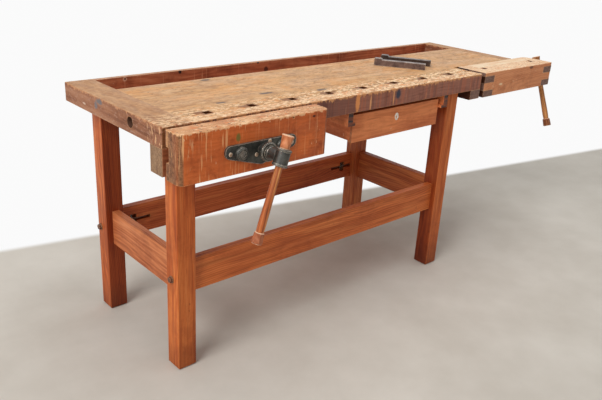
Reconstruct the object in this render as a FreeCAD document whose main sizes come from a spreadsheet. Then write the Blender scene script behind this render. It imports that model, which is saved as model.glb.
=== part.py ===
"""A joiner's workbench with a front vise, a tail vise, a tool tray and a drawer.

Lengths are millimetres. The bench is laid out from the outer face of its left end cap (X), from the
front edge of its top (Y, backwards) and from the floor (Z). Every body is then moved so that the
origin is the middle of the bench's outline on the floor.
"""

import FreeCAD, Part
import math
import os
import re
import Sketcher

V = FreeCAD.Vector
doc = FreeCAD.newDocument("JoinersBench")

# ---------------------------------------------------------------------------------------------
# Driving dimensions
# ---------------------------------------------------------------------------------------------
DRIVING = [
    # The top
    ("bench_height", 850, "floor to the working top"),
    ("bench_long", 1975, "over both end caps"),
    ("bench_deep", 640, "front edge to the back of the back board"),
    ("top_thick", 64, "slab, caps and front laminations"),
    ("flat_deep", 460, "front edge to the tool tray"),
    ("left_cap_wide", 100, "left end cap along the bench"),
    ("right_cap_wide", 65, "right end cap along the bench"),
    ("back_board_thick", 24, "board behind the tray"),
    ("tray_thick", 14, "floor board of the tray"),
    ("rebate_deep", 8, "how far the tray board is let in"),
    ("apron_thick", 55, "front lamination"),
    ("strip_thick", 65, "lamination that holds the dog holes"),
    ("vise_notch_long", 453, "notch for the tail vise, from the right end"),
    ("vise_notch_deep", 148, "how far the tail vise reaches into the top"),
    ("tongue_long", 18, "slab tongue in each end cap"),
    ("tongue_thick", 20, "slab tongue, top to bottom"),
    ("tongue_set_in", 20, "slab tongue, back from each edge of the slab"),
    ("arris", 3, "rounding of the worn edges"),
    # Dog holes
    ("hole_side", 26, "square dog hole"),
    ("hole_first", 197, "middle of the first dog hole"),
    ("hole_pitch", 170, "from one dog hole to the next"),
    ("hole_last_in", 100, "least distance from the last dog hole to the notch"),
    ("vise_hole_left_in", 84, "first dog hole of the tail vise behind its jaw's face"),
    ("vise_hole_right_in", 78, "second dog hole of the tail vise before its end"),
    # Cap bolts
    ("cap_bolt_left_at", 182, "left cap bolt, from the front edge"),
    ("cap_bolt_right_at", 305, "right cap bolt, from the front edge"),
    ("cap_bolt_drop", 30, "cap bolt below the top"),
    ("cap_bolt_long", 165, "from its head to its tip"),
    ("cap_sink_radius", 17.5, "counterbore of a cap bolt"),
    ("cap_sink_deep", 22, "counterbore of a cap bolt"),
    ("square_nut_side", 22, "nut of a cap bolt"),
    ("square_nut_thick", 11, "nut of a cap bolt"),
    ("cap_bolt_past", 10, "tip of a cap bolt past its nut"),
    ("cap_washer_radius", 14, "washer of a cap bolt"),
    # Legs and rails
    ("leg_side", 67, "square leg"),
    ("frame_left", 58, "left face of the left legs"),
    ("leg_before_batten", 53, "right legs to the fixed jaw block of the tail vise"),
    ("frame_front", 22, "front face of the front legs"),
    ("frame_deep", 545, "over the legs, front to back"),
    ("foot_bevel", 5, "bevel round each foot"),
    ("long_rail_thick", 28, "bolted rail"),
    ("long_rail_tall", 116, "bolted rail"),
    ("long_rail_low", 269, "underside of the bolted rails"),
    ("front_rail_inset", 22, "front face of the front legs to the front rail"),
    ("rear_rail_inset", 6, "back face of the rear legs to the rear rail"),
    ("stub_long", 10, "stub tenon of a bolted rail"),
    ("stub_shoulder", 6, "shoulder all round a stub tenon"),
    ("side_rail_thick", 28, "tenoned rail and top bearer"),
    ("side_rail_tall", 128, "tenoned rail"),
    ("side_rail_low", 269, "underside of the tenoned rails"),
    ("side_rail_inset", 24, "left face of a leg to the left face of its side rail"),
    ("bearer_tall", 50, "top bearer"),
    ("tenon_shoulder", 8, "shoulder all round a side tenon"),
    ("tenon_long", 58, "side tenon, pierced by the frame bolt"),
    # Frame bolts and wing nuts
    ("bolt_radius", 5, "frame and cap bolts"),
    ("bolt_past_leg", 122, "tip of a frame bolt beyond the leg"),
    ("head_radius", 10, "bolt head over its corners"),
    ("head_thick", 8, "bolt head"),
    ("frame_washer_radius", 12, "washer of a frame bolt"),
    ("washer_thick", 2.5, "washer"),
    ("nut_past_leg", 44, "wing nut's seat beyond the leg"),
    ("nut_pocket_wide", 26, "wing nut pocket along the rail"),
    ("nut_pocket_tall", 46, "wing nut pocket, top to bottom"),
    ("nut_pocket_room", 2, "room behind the hub of a wing nut"),
    ("tip_room", 6, "room past the tip of a frame bolt"),
    ("rod_slot_tall", 14, "slot round the tip of the bolt"),
    ("hub_radius", 8, "wing nut hub"),
    ("hub_end_radius", 6.4, "wing nut hub at its far end"),
    ("hub_long", 14, "wing nut hub"),
    ("wing_reach", 21, "axis to the tip of a wing"),
    ("wing_thick", 4, "wing of a wing nut"),
    ("wing_root", 1.5, "how far a wing is let into its hub"),
    # Front vise: jaws
    ("chop_long", 560, "front jaws, along the bench"),
    ("chop_thick", 70, "moving front jaw"),
    ("chop_tall", 150, "moving front jaw"),
    ("chop_round", 20, "upright corners of the moving jaw"),
    ("front_gap", 20, "front vise as it stands, open"),
    ("jaw_block_thick", 67, "fixed front jaw block"),
    ("jaw_block_tall", 85, "fixed front jaw block below the top's underside"),
    ("jaw_rebate", 15, "rebate at the back left of the moving jaw"),
    ("jaw_rebate_drop", 50, "head of that rebate below the top"),
    ("jaw_rebate_tall", 48, "that rebate, top to bottom"),
    ("peg_hole_at", 408, "small hole in the moving jaw"),
    ("peg_hole_drop", 8, "small hole below the top"),
    ("peg_hole_radius", 3, "small hole"),
    ("peg_hole_deep", 12, "small hole"),
    # Front vise: iron
    ("front_axis_at", 282, "front screw, from the left end"),
    ("front_axis_drop", 85, "front screw below the top"),
    ("rod_apart", 154, "between the guide rods"),
    ("rod_radius", 10, "guide rod"),
    ("rod_back", 330, "back end of the guide rods"),
    ("rod_peg_radius", 6, "riveted peg of a guide rod in its tie bar"),
    ("rod_peg_past", 3, "that peg beyond the bar"),
    ("rod_front_in", 2, "front end of a guide rod inside its ring nut"),
    ("pin_holes_apart", 12, "between the pin holes in a rod's front end"),
    ("pin_hole_radius", 1.8, "hole for the pin of a spanner"),
    ("pin_hole_deep", 5, "hole for the pin of a spanner"),
    ("plate_thick", 8, "iron plates of the vises"),
    ("plate_half", 133, "front plate, middle to end"),
    ("plate_rise", 28, "front plate above the screw's axis"),
    ("plate_end_drop", 8, "front plate's ends below the screw's axis"),
    ("plate_tip_drop", 48, "front plate's lowest point below the axis"),
    ("plate_end_round", 17, "rounding of the plate's ends"),
    ("plate_tip_round", 34, "rounding of the plate's lowest point"),
    ("ring_radius", 21, "ring nut of a guide rod"),
    ("ring_long", 10, "ring nut of a guide rod"),
    ("tie_bar_tall", 36, "bar across the back ends of the rods"),
    ("tie_bar_past", 22, "tie bar beyond each rod"),
    ("screw_far", 116, "outer plate screws from the spindle"),
    ("screw_far_lift", 3, "outer plate screws above the spindle"),
    ("screw_low_left", 21, "low inner plate screw left of the spindle"),
    ("screw_low_drop", 13, "low inner plate screw below the spindle"),
    ("screw_high_right", 28, "high inner plate screw right of the spindle"),
    ("screw_high_lift", 21, "high inner plate screw above the spindle"),
    ("wood_screw_head", 6.5, "radius of a wood screw's head"),
    ("wood_screw_shank", 3, "radius of a wood screw's shank"),
    ("wood_screw_long", 32, "wood screw below its head"),
    ("wood_screw_proud", 2.5, "wood screw head above the plate"),
    ("collar_radius", 16.5, "collar round the front spindle"),
    ("collar_long", 26, "collar, out from the plate"),
    ("spindle_radius", 13, "front spindle"),
    ("spindle_back", 300, "back end of the front spindle"),
    ("disc_radius", 30, "disc flange of the front spindle"),
    ("disc_thick", 10, "disc flange of the front spindle"),
    ("second_ring_radius", 20, "ring in front of the disc"),
    ("second_ring_thick", 7, "ring in front of the disc"),
    ("keeper_radius", 17, "shoulder that holds the spindle behind its plate"),
    ("keeper_thick", 8, "that shoulder"),
    ("guide_plate_half", 100, "guide plate behind the fixed jaw, middle to end"),
    ("guide_plate_tall", 62, "guide plate"),
    ("guide_plate_drop", 6, "guide plate below the underside of the top"),
    ("socket_radius", 16, "rod socket of the guide plate"),
    ("socket_long", 32, "rod socket of the guide plate"),
    ("nut_radius", 17.5, "sleeve of the front nut"),
    ("nut_long", 40, "sleeve of the front nut"),
    ("nut_flange", 20, "flange of the front nut"),
    # T-heads and handles
    ("front_head_at", -189, "middle of the front T-head, from the front edge"),
    ("barrel_radius", 22.3, "T-head"),
    ("barrel_long", 52, "T-head"),
    ("lip_radius", 24, "lips of a T-head"),
    ("lip_long", 5, "lips of a T-head"),
    ("handle_bore", 13, "hole through a T-head"),
    ("neck_radius", 17, "neck between spindle and T-head"),
    ("neck_flare", 2, "how much a neck widens at its flange"),
    ("bore_wall", 2, "iron between a neck's end and the handle's bore"),
    ("small_bevel", 1.5, "bevel on small turned edges"),
    ("middle_bevel", 2, "bevel on turned edges"),
    ("large_bevel", 3, "bevel on flanges and spindle ends"),
    ("front_tilt", 18.4, "lean of the front handle from upright, degrees"),
    ("tail_tilt", 21.7, "lean of the tail handle from upright, degrees"),
    ("handle_radius", 11.2, "handle where it passes the T-head"),
    ("handle_swell", 13, "handle at its thickest"),
    ("handle_straight", 125, "plain run of a handle below its T-head"),
    ("handle_taper", 0.5, "how much a handle widens along its plain run"),
    ("swell_run", 25, "low knob to a handle's thickest place"),
    ("swell_drop", 1, "how much thinner a handle is at its low knob"),
    ("knob_low_start", 230, "T-head's middle to the low knob"),
    ("knob_low_long", 36, "low knob"),
    ("knob_low_radius", 18.5, "low knob over its corners at its foot"),
    ("knob_low_taper", 3, "lean of the low knob's flats, degrees"),
    ("front_knob_long", 41, "high knob of the front handle"),
    ("tail_knob_long", 49, "high knob of the tail handle"),
    ("knob_high_radius", 19, "high knob at its top"),
    ("knob_neck_radius", 14, "high knob at its foot"),
    ("knob_waist_radius", 15.5, "high knob half way up"),
    ("knob_shoulder", 8, "high knob's widening below its top"),
    ("knob_crown", 3, "rounded crown of a high knob"),
    ("knob_tenon", 7, "handle's tenon in a knob"),
    ("knob_tenon_long", 28, "handle's tenon in a knob"),
    # Tail vise
    ("tail_gap", 28, "tail vise as it stands, open"),
    ("closing_room", 7, "end block to nut with the tail vise closed"),
    ("tail_drop", 104, "tail vise, top to underside"),
    ("tail_front_thick", 84, "front board of the tail vise"),
    ("tail_back_at", 146, "back of the tail vise, from the front edge"),
    ("tail_jaw_thick", 70, "moving jaw block of the tail vise"),
    ("tail_end_thick", 65, "end block of the tail vise"),
    ("tail_cover_thick", 20, "top board of the tail vise"),
    ("tail_inner_thick", 24, "inner board of the tail vise"),
    ("tail_corner_round", 30, "outer back corner of the end block"),
    ("finger_low_tall", 28, "lower finger"),
    ("finger_high_at", 60, "underside of the upper finger above the vise's underside"),
    ("finger_high_tall", 29, "upper finger"),
    ("runner_thick", 13.4, "guide strip of the tail vise"),
    ("runner_low", 62.3, "guide strip above the vise's underside"),
    ("runner_reach", 13.7, "guide strip out of the slab"),
    ("runner_end_gap", 8, "guide strip's start behind the notch"),
    ("runner_stop_gap", 5, "guide strip's end before the nut block"),
    ("batten_long", 64, "fixed jaw block of the tail vise, along the bench"),
    ("batten_deep", 150, "that block, front to back"),
    ("batten_tall", 40, "that block"),
    ("nut_block_low", 4, "nut block above the vise's underside"),
    ("nut_block_tall", 50, "nut block"),
    ("nut_block_foot", 52, "nut block's foot below the right cap"),
    ("nut_block_thick", 62, "nut block, front to back, without its foot"),
    ("tail_axis_back", 103, "tail screw, from the front edge"),
    ("tail_axis_up", 31, "tail screw above the vise's underside"),
    ("tail_spindle_radius", 12, "tail spindle"),
    ("tail_nut_radius", 15, "sleeve of the tail nut"),
    ("tail_nut_proud", 5, "tail nut beyond its block, each side"),
    ("tail_spindle_in", 140, "inner end of the tail spindle behind the jaw's face"),
    ("tail_opening", 138, "how far the tail vise opens from where it stands"),
    ("passage_room", 15, "room between nut and passage with the vise open"),
    ("passage_play", 2, "room above the nut block"),
    ("tail_plate_half", 40, "tail plate, middle to side"),
    ("tail_plate_tall", 54, "tail plate"),
    ("tail_boss_radius", 22, "boss of the tail plate"),
    ("tail_boss_long", 10, "boss of the tail plate"),
    ("tail_disc_radius", 26, "disc flange of the tail spindle"),
    ("tail_disc_thick", 8, "disc flange of the tail spindle"),
    ("tail_keeper_radius", 15, "shoulder behind the tail plate"),
    ("tail_head_at", 80, "tail T-head beyond the vise's end"),
    ("tail_screw_in", 8, "tail plate screws from the plate's edges"),
    # Drawer
    ("drawer_past_jaws", 228, "front jaws to the left side of the drawer"),
    ("drawer_before_leg", 64, "right side of the drawer to the right leg"),
    ("drawer_front_at", 20, "face of the drawer behind the front edge"),
    ("drawer_front_thick", 20, "drawer front"),
    ("drawer_tall", 104, "drawer front"),
    ("drawer_below_top", 16, "drawer front below the top's underside"),
    ("drawer_back_at", 455, "back of the drawer"),
    ("drawer_side_thick", 12, "sides and back"),
    ("drawer_lap", 10, "how far the sides are let into the front"),
    ("drawer_bottom_thick", 6, "bottom board"),
    ("drawer_bottom_up", 8, "bottom board above the front's underside"),
    ("drawer_groove", 5, "groove for the bottom board"),
    ("drawer_lip", 2, "drawer sides below their groove"),
    ("cleat_thick", 12, "runner strip on a drawer side"),
    ("cleat_tall", 24, "runner strip"),
    ("cleat_down", 22, "underside of a runner strip below the drawer's top"),
    ("hanger_thick", 25, "upright arm of a drawer hanger"),
    ("hanger_foot", 12, "foot of a drawer hanger, inwards and in height"),
    ("hanger_front", 5, "front end of the hangers"),
    ("hanger_play", 3, "between a runner strip and its hanger"),
    # Bench dogs
    ("dog_long", 215, "steel dog"),
    ("dog_side", 24.4, "steel dog, square"),
    ("dog_head_tall", 30, "head of a steel dog, over its lip"),
    ("dog_head_long", 30, "head of a steel dog"),
    ("dog_head_ramp", 3, "slope from the shank to the lip of the head"),
    ("dog_bevel", 2, "bevels of a steel dog"),
    ("dog_one_turn", 123.7, "way the first dog lies, degrees from along the bench"),
    ("dog_two_turn", 123.1, "way the second dog lies, degrees from along the bench"),
    ("dog_one_x", 1360, "foot of the first dog, from the left end"),
    ("dog_one_y", 172, "foot of the first dog, from the front edge"),
    ("dog_apart_x", 83.5, "foot of the second dog past the first, along the bench"),
    ("dog_apart_y", 39.3, "foot of the second dog behind the first"),
    ("leaf_at", 55.5, "leaf spring from the dog's foot"),
    ("leaf_long", 95, "leaf spring of a dog"),
    ("leaf_flat", 19, "part of the leaf spring that lies flat"),
    ("leaf_thick", 1.5, "leaf spring of a dog"),
    ("leaf_wide", 14, "leaf spring of a dog"),
    ("leaf_bow", 5, "how far the spring bows out"),
    # Clearances
    ("free_gap", 0.3, "between pieces that move past each other"),
    ("fit_gap", 0.05, "round a rod, screw or tenon in its bore"),
    ("bolt_gap", 0.5, "round a bolt in wood"),
    ("wood_gap", 1.5, "round a spindle or rod in wood"),
]

# ---------------------------------------------------------------------------------------------
# Places worked out from the driving dimensions
# ---------------------------------------------------------------------------------------------
WORKED_OUT = [
    # The top
    ("slab_low", "bench_height - top_thick"),
    ("right_cap_at", "bench_long - right_cap_wide"),
    ("vise_notch_at", "bench_long - vise_notch_long"),
    ("back_board_at", "bench_deep - back_board_thick"),
    ("strip_back", "apron_thick + strip_thick"),
    ("tongue_low", "slab_low + (top_thick - tongue_thick) / 2"),
    ("hole_front", "apron_thick"),
    ("hole_back", "apron_thick + hole_side"),
    ("cap_bolt_high", "bench_height - cap_bolt_drop"),
    ("cap_nut_at", "cap_bolt_long - square_nut_thick - cap_bolt_past"),
    # Legs and rails
    ("frame_right", "vise_notch_at - batten_long - leg_before_batten"),
    ("frame_back", "frame_front + frame_deep"),
    ("right_leg_at", "frame_right - leg_side"),
    ("rear_leg_at", "frame_back - leg_side"),
    ("left_leg_end", "frame_left + leg_side"),
    ("front_leg_end", "frame_front + leg_side"),
    ("front_rail_at", "frame_front + front_rail_inset"),
    ("rear_rail_at", "frame_back - rear_rail_inset - long_rail_thick"),
    ("bolt_high", "long_rail_low + long_rail_tall / 2"),
    ("front_bolt_at", "front_rail_at + long_rail_thick / 2"),
    ("rear_bolt_at", "rear_rail_at + long_rail_thick / 2"),
    ("bearer_low", "slab_low - bearer_tall"),
    ("nut_pocket_deep", "long_rail_thick / 2 + hub_radius + nut_pocket_room"),
    # Front vise
    ("chop_back", "-front_gap"),
    ("chop_front", "-front_gap - chop_thick"),
    ("chop_low", "bench_height - chop_tall"),
    ("jaw_block_low", "slab_low - jaw_block_tall"),
    ("jaw_rebate_high", "bench_height - jaw_rebate_drop"),
    ("jaw_rebate_low", "jaw_rebate_high - jaw_rebate_tall"),
    ("front_axis_high", "bench_height - front_axis_drop"),
    ("plate_front", "chop_front - plate_thick"),
    ("left_rod_at", "front_axis_at - rod_apart / 2"),
    ("right_rod_at", "front_axis_at + rod_apart / 2"),
    ("collar_front", "plate_front - collar_long"),
    ("guide_plate_back", "jaw_block_thick + plate_thick"),
    ("guide_plate_high", "slab_low - guide_plate_drop"),
    ("knob_high_start", "barrel_long / 2 + free_gap"),
    # Tail vise
    ("tail_left", "vise_notch_at + tail_gap"),
    ("tail_end_at", "bench_long + tail_nut_proud + tail_gap + closing_room"),
    ("tail_right", "tail_end_at + tail_end_thick"),
    ("tail_low", "bench_height - tail_drop"),
    ("vise_hole_left", "tail_left + vise_hole_left_in"),
    ("vise_hole_right", "tail_right - vise_hole_right_in"),
    ("tail_spindle_left", "tail_left + tail_spindle_in"),
    ("tail_jaw_end", "tail_left + tail_jaw_thick"),
    ("tail_cover_low", "bench_height - tail_cover_thick"),
    ("tail_inner_at", "tail_back_at - tail_inner_thick"),
    ("tail_axis_high", "tail_low + tail_axis_up"),
    ("finger_high_low", "tail_low + finger_high_at"),
    ("runner_bottom", "tail_low + runner_low"),
    ("runner_front", "vise_notch_deep - runner_reach"),
    ("runner_start", "vise_notch_at + runner_end_gap"),
    ("runner_stop", "right_cap_at - runner_stop_gap"),
    ("nut_block_front", "vise_notch_deep - nut_block_thick"),
    ("nut_block_bottom", "tail_low + nut_block_low"),
    ("nut_block_top", "nut_block_bottom + nut_block_tall"),
    ("nut_passage_at", "right_cap_at - tail_nut_proud - tail_opening - passage_room"),
    ("tail_plate_end", "tail_right + plate_thick"),
    ("tail_boss_end", "tail_plate_end + tail_boss_long"),
    ("tail_hub_at", "tail_right + tail_head_at"),
    # Drawer
    ("drawer_left", "chop_long + drawer_past_jaws"),
    ("drawer_right", "right_leg_at - drawer_before_leg"),
    ("drawer_front_back", "drawer_front_at + drawer_front_thick"),
    ("drawer_high", "slab_low - drawer_below_top"),
    ("drawer_low", "drawer_high - drawer_tall"),
    ("drawer_bottom_low", "drawer_low + drawer_bottom_up"),
    ("cleat_low", "drawer_high - cleat_down"),
    ("foot_high", "cleat_low - free_gap"),
    ("foot_low", "foot_high - hanger_foot"),
    # Bench dogs
    ("dog_two_x", "dog_one_x + dog_apart_x"),
    ("dog_two_y", "dog_one_y + dog_apart_y"),
    # Middle of the outline on the floor
    ("outline_front", "front_head_at - lip_radius"),
    ("outline_right", "tail_hub_at + lip_radius"),
    ("origin_x", "outline_right / 2"),
    ("origin_y", "(outline_front + bench_deep) / 2"),
]


def fill_sheets():
    """Write both spreadsheets and return where each name lives."""
    where = {}
    dims = doc.addObject("Spreadsheet::Sheet", "Dims")
    for row, (alias, number, meaning) in enumerate(DRIVING, start=1):
        dims.set("A%d" % row, meaning)
        dims.set("B%d" % row, str(number))
        dims.setAlias("B%d" % row, alias)
        where[alias] = "Dims." + alias
    places = doc.addObject("Spreadsheet::Sheet", "Places")
    for row, (alias, formula) in enumerate(WORKED_OUT, start=1):
        places.set("A%d" % row, formula)
        sums = re.sub(r"[a-z_]+", lambda word: where[word.group()], formula)
        places.set("B%d" % row, "=" + sums.replace("Places.", ""))
        places.setAlias("B%d" % row, alias)
        where[alias] = "Places." + alias
    doc.recompute()
    return where, places


WHERE, PLACES = fill_sheets()


def bound(words):
    """A sheet expression from plain words: each name gets its own sheet in front."""
    return re.sub(r"[a-z_]+", lambda word: WHERE.get(word.group(), word.group()), str(words))


def number(words):
    """What a formula in plain words comes to now."""
    return float(PLACES.evalExpression(bound(words)))


# ---------------------------------------------------------------------------------------------
# Ways of making a piece
# ---------------------------------------------------------------------------------------------
NODES = []
UPRIGHT = "rotation(vector(0; 0; 1); 0)"


def place(thing, x="0", y="0", z="0", turn=UPRIGHT):
    """Bind where a body stands, measured on the bench."""
    spot = "placement(vector(%s - origin_x; %s - origin_y; %s); %s)" % (x, y, z, turn)
    thing.setExpression("Placement", bound(spot))


def new_body(name, **where):
    """A body that stands at a point of the bench."""
    body = doc.addObject("PartDesign::Body", name)
    body.Label = name
    place(body, **where)
    return body


def node(thing):
    """Keep a finished body or group as a sub-part."""
    NODES.append(thing)
    return thing


def origin_plane(body, role):
    return [plane for plane in body.Origin.OriginFeatures if plane.Role == role][0]


def outline(body, role, corners, offset="0", turn="0"):
    """A closed sketch of straight lines, every corner bound to its own two formulas."""
    sketch = body.newObject("Sketcher::SketchObject", "Outline")
    sketch.AttachmentSupport = [(origin_plane(body, role), "")]
    sketch.MapMode = "FlatFace"
    spot = "placement(vector(0; 0; %s); rotation(vector(0; 0; 1); %s))" % (offset, turn)
    sketch.setExpression("AttachmentOffset", bound(spot))
    points = [V(number(u), number(v), 0) for u, v in corners]
    for at, point in enumerate(points):
        sketch.addGeometry(Part.LineSegment(point, points[(at + 1) % len(points)]))
    for at in range(len(points)):
        sketch.addConstraint(Sketcher.Constraint("Coincident", at, 2, (at + 1) % len(points), 1))
    for at, (u, v) in enumerate(corners):
        for kind, formula, now in (("DistanceX", u, points[at].x), ("DistanceY", v, points[at].y)):
            index = sketch.addConstraint(Sketcher.Constraint(kind, -1, 1, at, 1, now))
            sketch.setExpression("Constraints[%d]" % index, bound(formula))
    return sketch


def pad(body, role, corners, start, end):
    """Raise an outline from start to end along the axis that its plane faces."""
    backwards = role == "XZ_Plane"
    sketch = outline(body, role, corners, "-(%s)" % start if backwards else start)
    raised = body.newObject("PartDesign::Pad", "Pad")
    raised.Profile = sketch
    raised.Reversed = backwards
    raised.setExpression("Length", bound("%s - (%s)" % (end, start)))
    return raised


def pocket(body, role, corners, start, end):
    """Cut an outline away from start to end along the axis that its plane faces."""
    backwards = role == "XZ_Plane"
    sketch = outline(body, role, corners, "-(%s)" % start if backwards else start)
    cut = body.newObject("PartDesign::Pocket", "Pocket")
    cut.Profile = sketch
    cut.Reversed = not backwards
    cut.setExpression("Length", bound("%s - (%s)" % (end, start)))
    return cut


def rectangle(u, v):
    """The four corners between two pairs of formulas."""
    return [(u[0], v[0]), (u[1], v[0]), (u[1], v[1]), (u[0], v[1])]


def board(body, x, y, z):
    """A plain board: a rectangle on the floor plan, raised to its height."""
    return pad(body, "XY_Plane", rectangle(x, y), z[0], z[1])


def block(body, kind, x, y, z):
    """A box added to a body or cut out of it."""
    box = body.newObject("PartDesign::" + kind, "Block")
    for size, (low, high) in zip(("Length", "Width", "Height"), (x, y, z)):
        box.setExpression(size, bound("%s - (%s)" % (high, low)))
    spot = "placement(vector(%s; %s; %s); %s)" % (x[0], y[0], z[0], UPRIGHT)
    box.setExpression("Placement", bound(spot))
    return box


def tenon(body, x, y, z):
    return block(body, "AdditiveBox", x, y, z)


def mortise(body, x, y, z):
    return block(body, "SubtractiveBox", x, y, z)


ALONG = {
    "x": "rotation(vector(0; 1; 0); 90)",
    "y": "rotation(vector(1; 0; 0); -90)",
    "z": UPRIGHT,
}


def bore(body, axis, at, radius, start, end):
    """A round hole along one axis; at holds its place on the other two, in order."""
    first, second = at
    middle = {"x": (start, first, second), "y": (first, start, second), "z": (first, second, start)}
    hole = body.newObject("PartDesign::SubtractiveCylinder", "Bore")
    hole.setExpression("Radius", bound(radius))
    hole.setExpression("Height", bound("%s - (%s)" % (end, start)))
    hole.setExpression("Placement", bound("placement(vector(%s; %s; %s); %s)" % (
        middle[axis] + (ALONG[axis],))))
    return hole


def revolve(body, axis, profile):
    """Turn a profile of (along the axis, radius) pairs about an axis of the body."""
    role = "XZ_Plane" if axis == "z" else "XY_Plane"
    flat = axis == "x"
    corners = [(along, radius) if flat else (radius, along) for along, radius in profile]
    turned = body.newObject("PartDesign::Revolution", "Turned")
    sketch = outline(body, role, corners)
    turned.Profile = sketch
    turned.ReferenceAxis = (sketch, ["H_Axis" if flat else "V_Axis"])
    turned.Angle = 360
    return turned


def edges_at(body, **planes):
    """Names of the edges that lie where all the given coordinates hold."""
    doc.recompute()
    wanted = {"XYZ"["xyz".index(axis)]: number(formula) for axis, formula in planes.items()}
    found = []
    for index, edge in enumerate(body.Tip.Shape.Edges, start=1):
        ends = edge.BoundBox
        if all(abs(getattr(ends, axis + "Min") - spot) < 0.01
               and abs(getattr(ends, axis + "Max") - spot) < 0.01
               for axis, spot in wanted.items()):
            found.append("Edge%d" % index)
    return found


def soften(body, kind, radius, *places):
    """Fillet or chamfer every edge at the given places."""
    names = sorted({name for planes in places for name in edges_at(body, **planes)})
    dressed = body.Tip
    feature = body.newObject("PartDesign::" + kind, kind)
    feature.Base = (dressed, names)
    feature.setExpression("Radius" if kind == "Fillet" else "Size", bound(radius))
    return feature


def group(name, members):
    """One sub-part of several equal solids."""
    gathered = doc.addObject("Part::Compound", name)
    gathered.Label = name
    gathered.Links = members
    return node(gathered)


# ---------------------------------------------------------------------------------------------
# The top
# ---------------------------------------------------------------------------------------------
TOP = ("slab_low", "bench_height")
TONGUE = ("tongue_low", "tongue_low + tongue_thick")
TRAY = ("slab_low", "slab_low + tray_thick")
TRAY_DEPTH = ("flat_deep - rebate_deep", "back_board_at + rebate_deep")
SIDES = ("left", "right")
CAP_BOLT_AT = {"left": "cap_bolt_left_at", "right": "cap_bolt_right_at"}


def hole_middles():
    """Formulas for the middles of the front strip's dog holes: as many as its length takes."""
    pitches = number("(vise_notch_at - hole_last_in - hole_first) / hole_pitch")
    return ["hole_first + hole_pitch * %d" % turn for turn in range(math.floor(pitches) + 1)]


def make_top_slab():
    """The slab: a tongue at each end, a rebate for the tray and a corner left out for the vise."""
    body = new_body("top_slab")
    pad(body, "XY_Plane", [
        ("left_cap_wide", "strip_back"),
        ("vise_notch_at", "strip_back"),
        ("vise_notch_at", "vise_notch_deep"),
        ("right_cap_at", "vise_notch_deep"),
        ("right_cap_at", "flat_deep"),
        ("left_cap_wide", "flat_deep"),
    ], *TOP)
    back = "flat_deep - tongue_set_in"
    tenon(body, ("left_cap_wide - tongue_long", "left_cap_wide"),
          ("strip_back + tongue_set_in", back), TONGUE)
    tenon(body, ("right_cap_at", "right_cap_at + tongue_long"),
          ("vise_notch_deep + tongue_set_in", back), TONGUE)
    mortise(body, ("left_cap_wide", "right_cap_at"), (TRAY_DEPTH[0], "flat_deep"), TRAY)
    for side in SIDES:
        at = CAP_BOLT_AT[side]
        bore(body, "x", (at, "cap_bolt_high"), "bolt_radius + bolt_gap", *bolt_run(side))
        mortise(body, nut_run(side), ("%s - square_nut_side / 2 - bolt_gap" % at,
                                      "%s + square_nut_side / 2 + bolt_gap" % at),
                ("slab_low", "cap_bolt_high + square_nut_side / 2 + bolt_gap"))
    return node(body)


def bolt_run(side):
    """Where the bore of a cap bolt starts and ends."""
    if side == "left":
        return "cap_sink_deep", "cap_sink_deep + cap_bolt_long + bolt_gap"
    return "bench_long - cap_sink_deep - cap_bolt_long - bolt_gap", "bench_long - cap_sink_deep"


def nut_run(side):
    """Where the pocket of a cap nut starts and ends."""
    if side == "left":
        return "cap_sink_deep + cap_nut_at", "cap_sink_deep + cap_nut_at + square_nut_thick + free_gap"
    return ("bench_long - cap_sink_deep - cap_nut_at - square_nut_thick - free_gap",
            "bench_long - cap_sink_deep - cap_nut_at")


def make_front_boards():
    """The front apron, the strip behind it, and the blocks between them that leave the dog holes."""
    apron = new_body("front_apron")
    board(apron, ("left_cap_wide", "vise_notch_at"), ("0", "apron_thick"), TOP)
    soften(apron, "Fillet", "arris", {"y": "0", "z": "bench_height"})
    node(apron)
    strip = new_body("dog_hole_strip")
    board(strip, ("left_cap_wide", "vise_notch_at"), ("hole_back", "strip_back"), TOP)
    node(strip)
    half = "hole_side / 2"
    starts = ["left_cap_wide"] + [middle + " + " + half for middle in hole_middles()]
    ends = [middle + " - " + half for middle in hole_middles()] + ["vise_notch_at"]
    blocks = []
    for turn, run in enumerate(zip(starts, ends)):
        spacer = new_body("hole_block_%d" % turn)
        board(spacer, run, ("hole_front", "hole_back"), TOP)
        blocks.append(spacer)
    group("dog_hole_blocks", blocks)


def make_end_caps():
    """The cross boards at both ends, grooved for the slab's tongue and the tray."""
    spans = {
        "left": (("0", "left_cap_wide"), ("0", "bench_deep")),
        "right": (("right_cap_at", "bench_long"), ("vise_notch_deep", "bench_deep")),
    }
    grooves = {
        "left": (("left_cap_wide - tongue_long", "left_cap_wide"), "strip_back"),
        "right": (("right_cap_at", "right_cap_at + tongue_long"), "vise_notch_deep"),
    }
    lets = {
        "left": ("left_cap_wide - rebate_deep", "left_cap_wide"),
        "right": ("right_cap_at", "right_cap_at + rebate_deep"),
    }
    for side in SIDES:
        cap = new_body(side + "_end_cap")
        x, y = spans[side]
        board(cap, x, y, TOP)
        face = x[0] if side == "left" else x[1]
        soften(cap, "Fillet", "arris", {"x": face, "y": y[0]}, {"x": face, "z": "bench_height"},
               {"y": y[0], "z": "bench_height"})
        soften(cap, "Fillet", "arris", {"x": face, "y": "bench_deep"}, {"y": "bench_deep", "z": "slab_low"})
        groove, front = grooves[side]
        mortise(cap, groove, (front + " + tongue_set_in", "flat_deep - tongue_set_in"), TONGUE)
        mortise(cap, lets[side], TRAY_DEPTH, TRAY)
        at = (CAP_BOLT_AT[side], "cap_bolt_high")
        bore(cap, "x", at, "bolt_radius + bolt_gap", *x)
        sink = ("0", "cap_sink_deep") if side == "left" else ("bench_long - cap_sink_deep", "bench_long")
        bore(cap, "x", at, "cap_sink_radius", *sink)
        node(cap)


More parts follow.
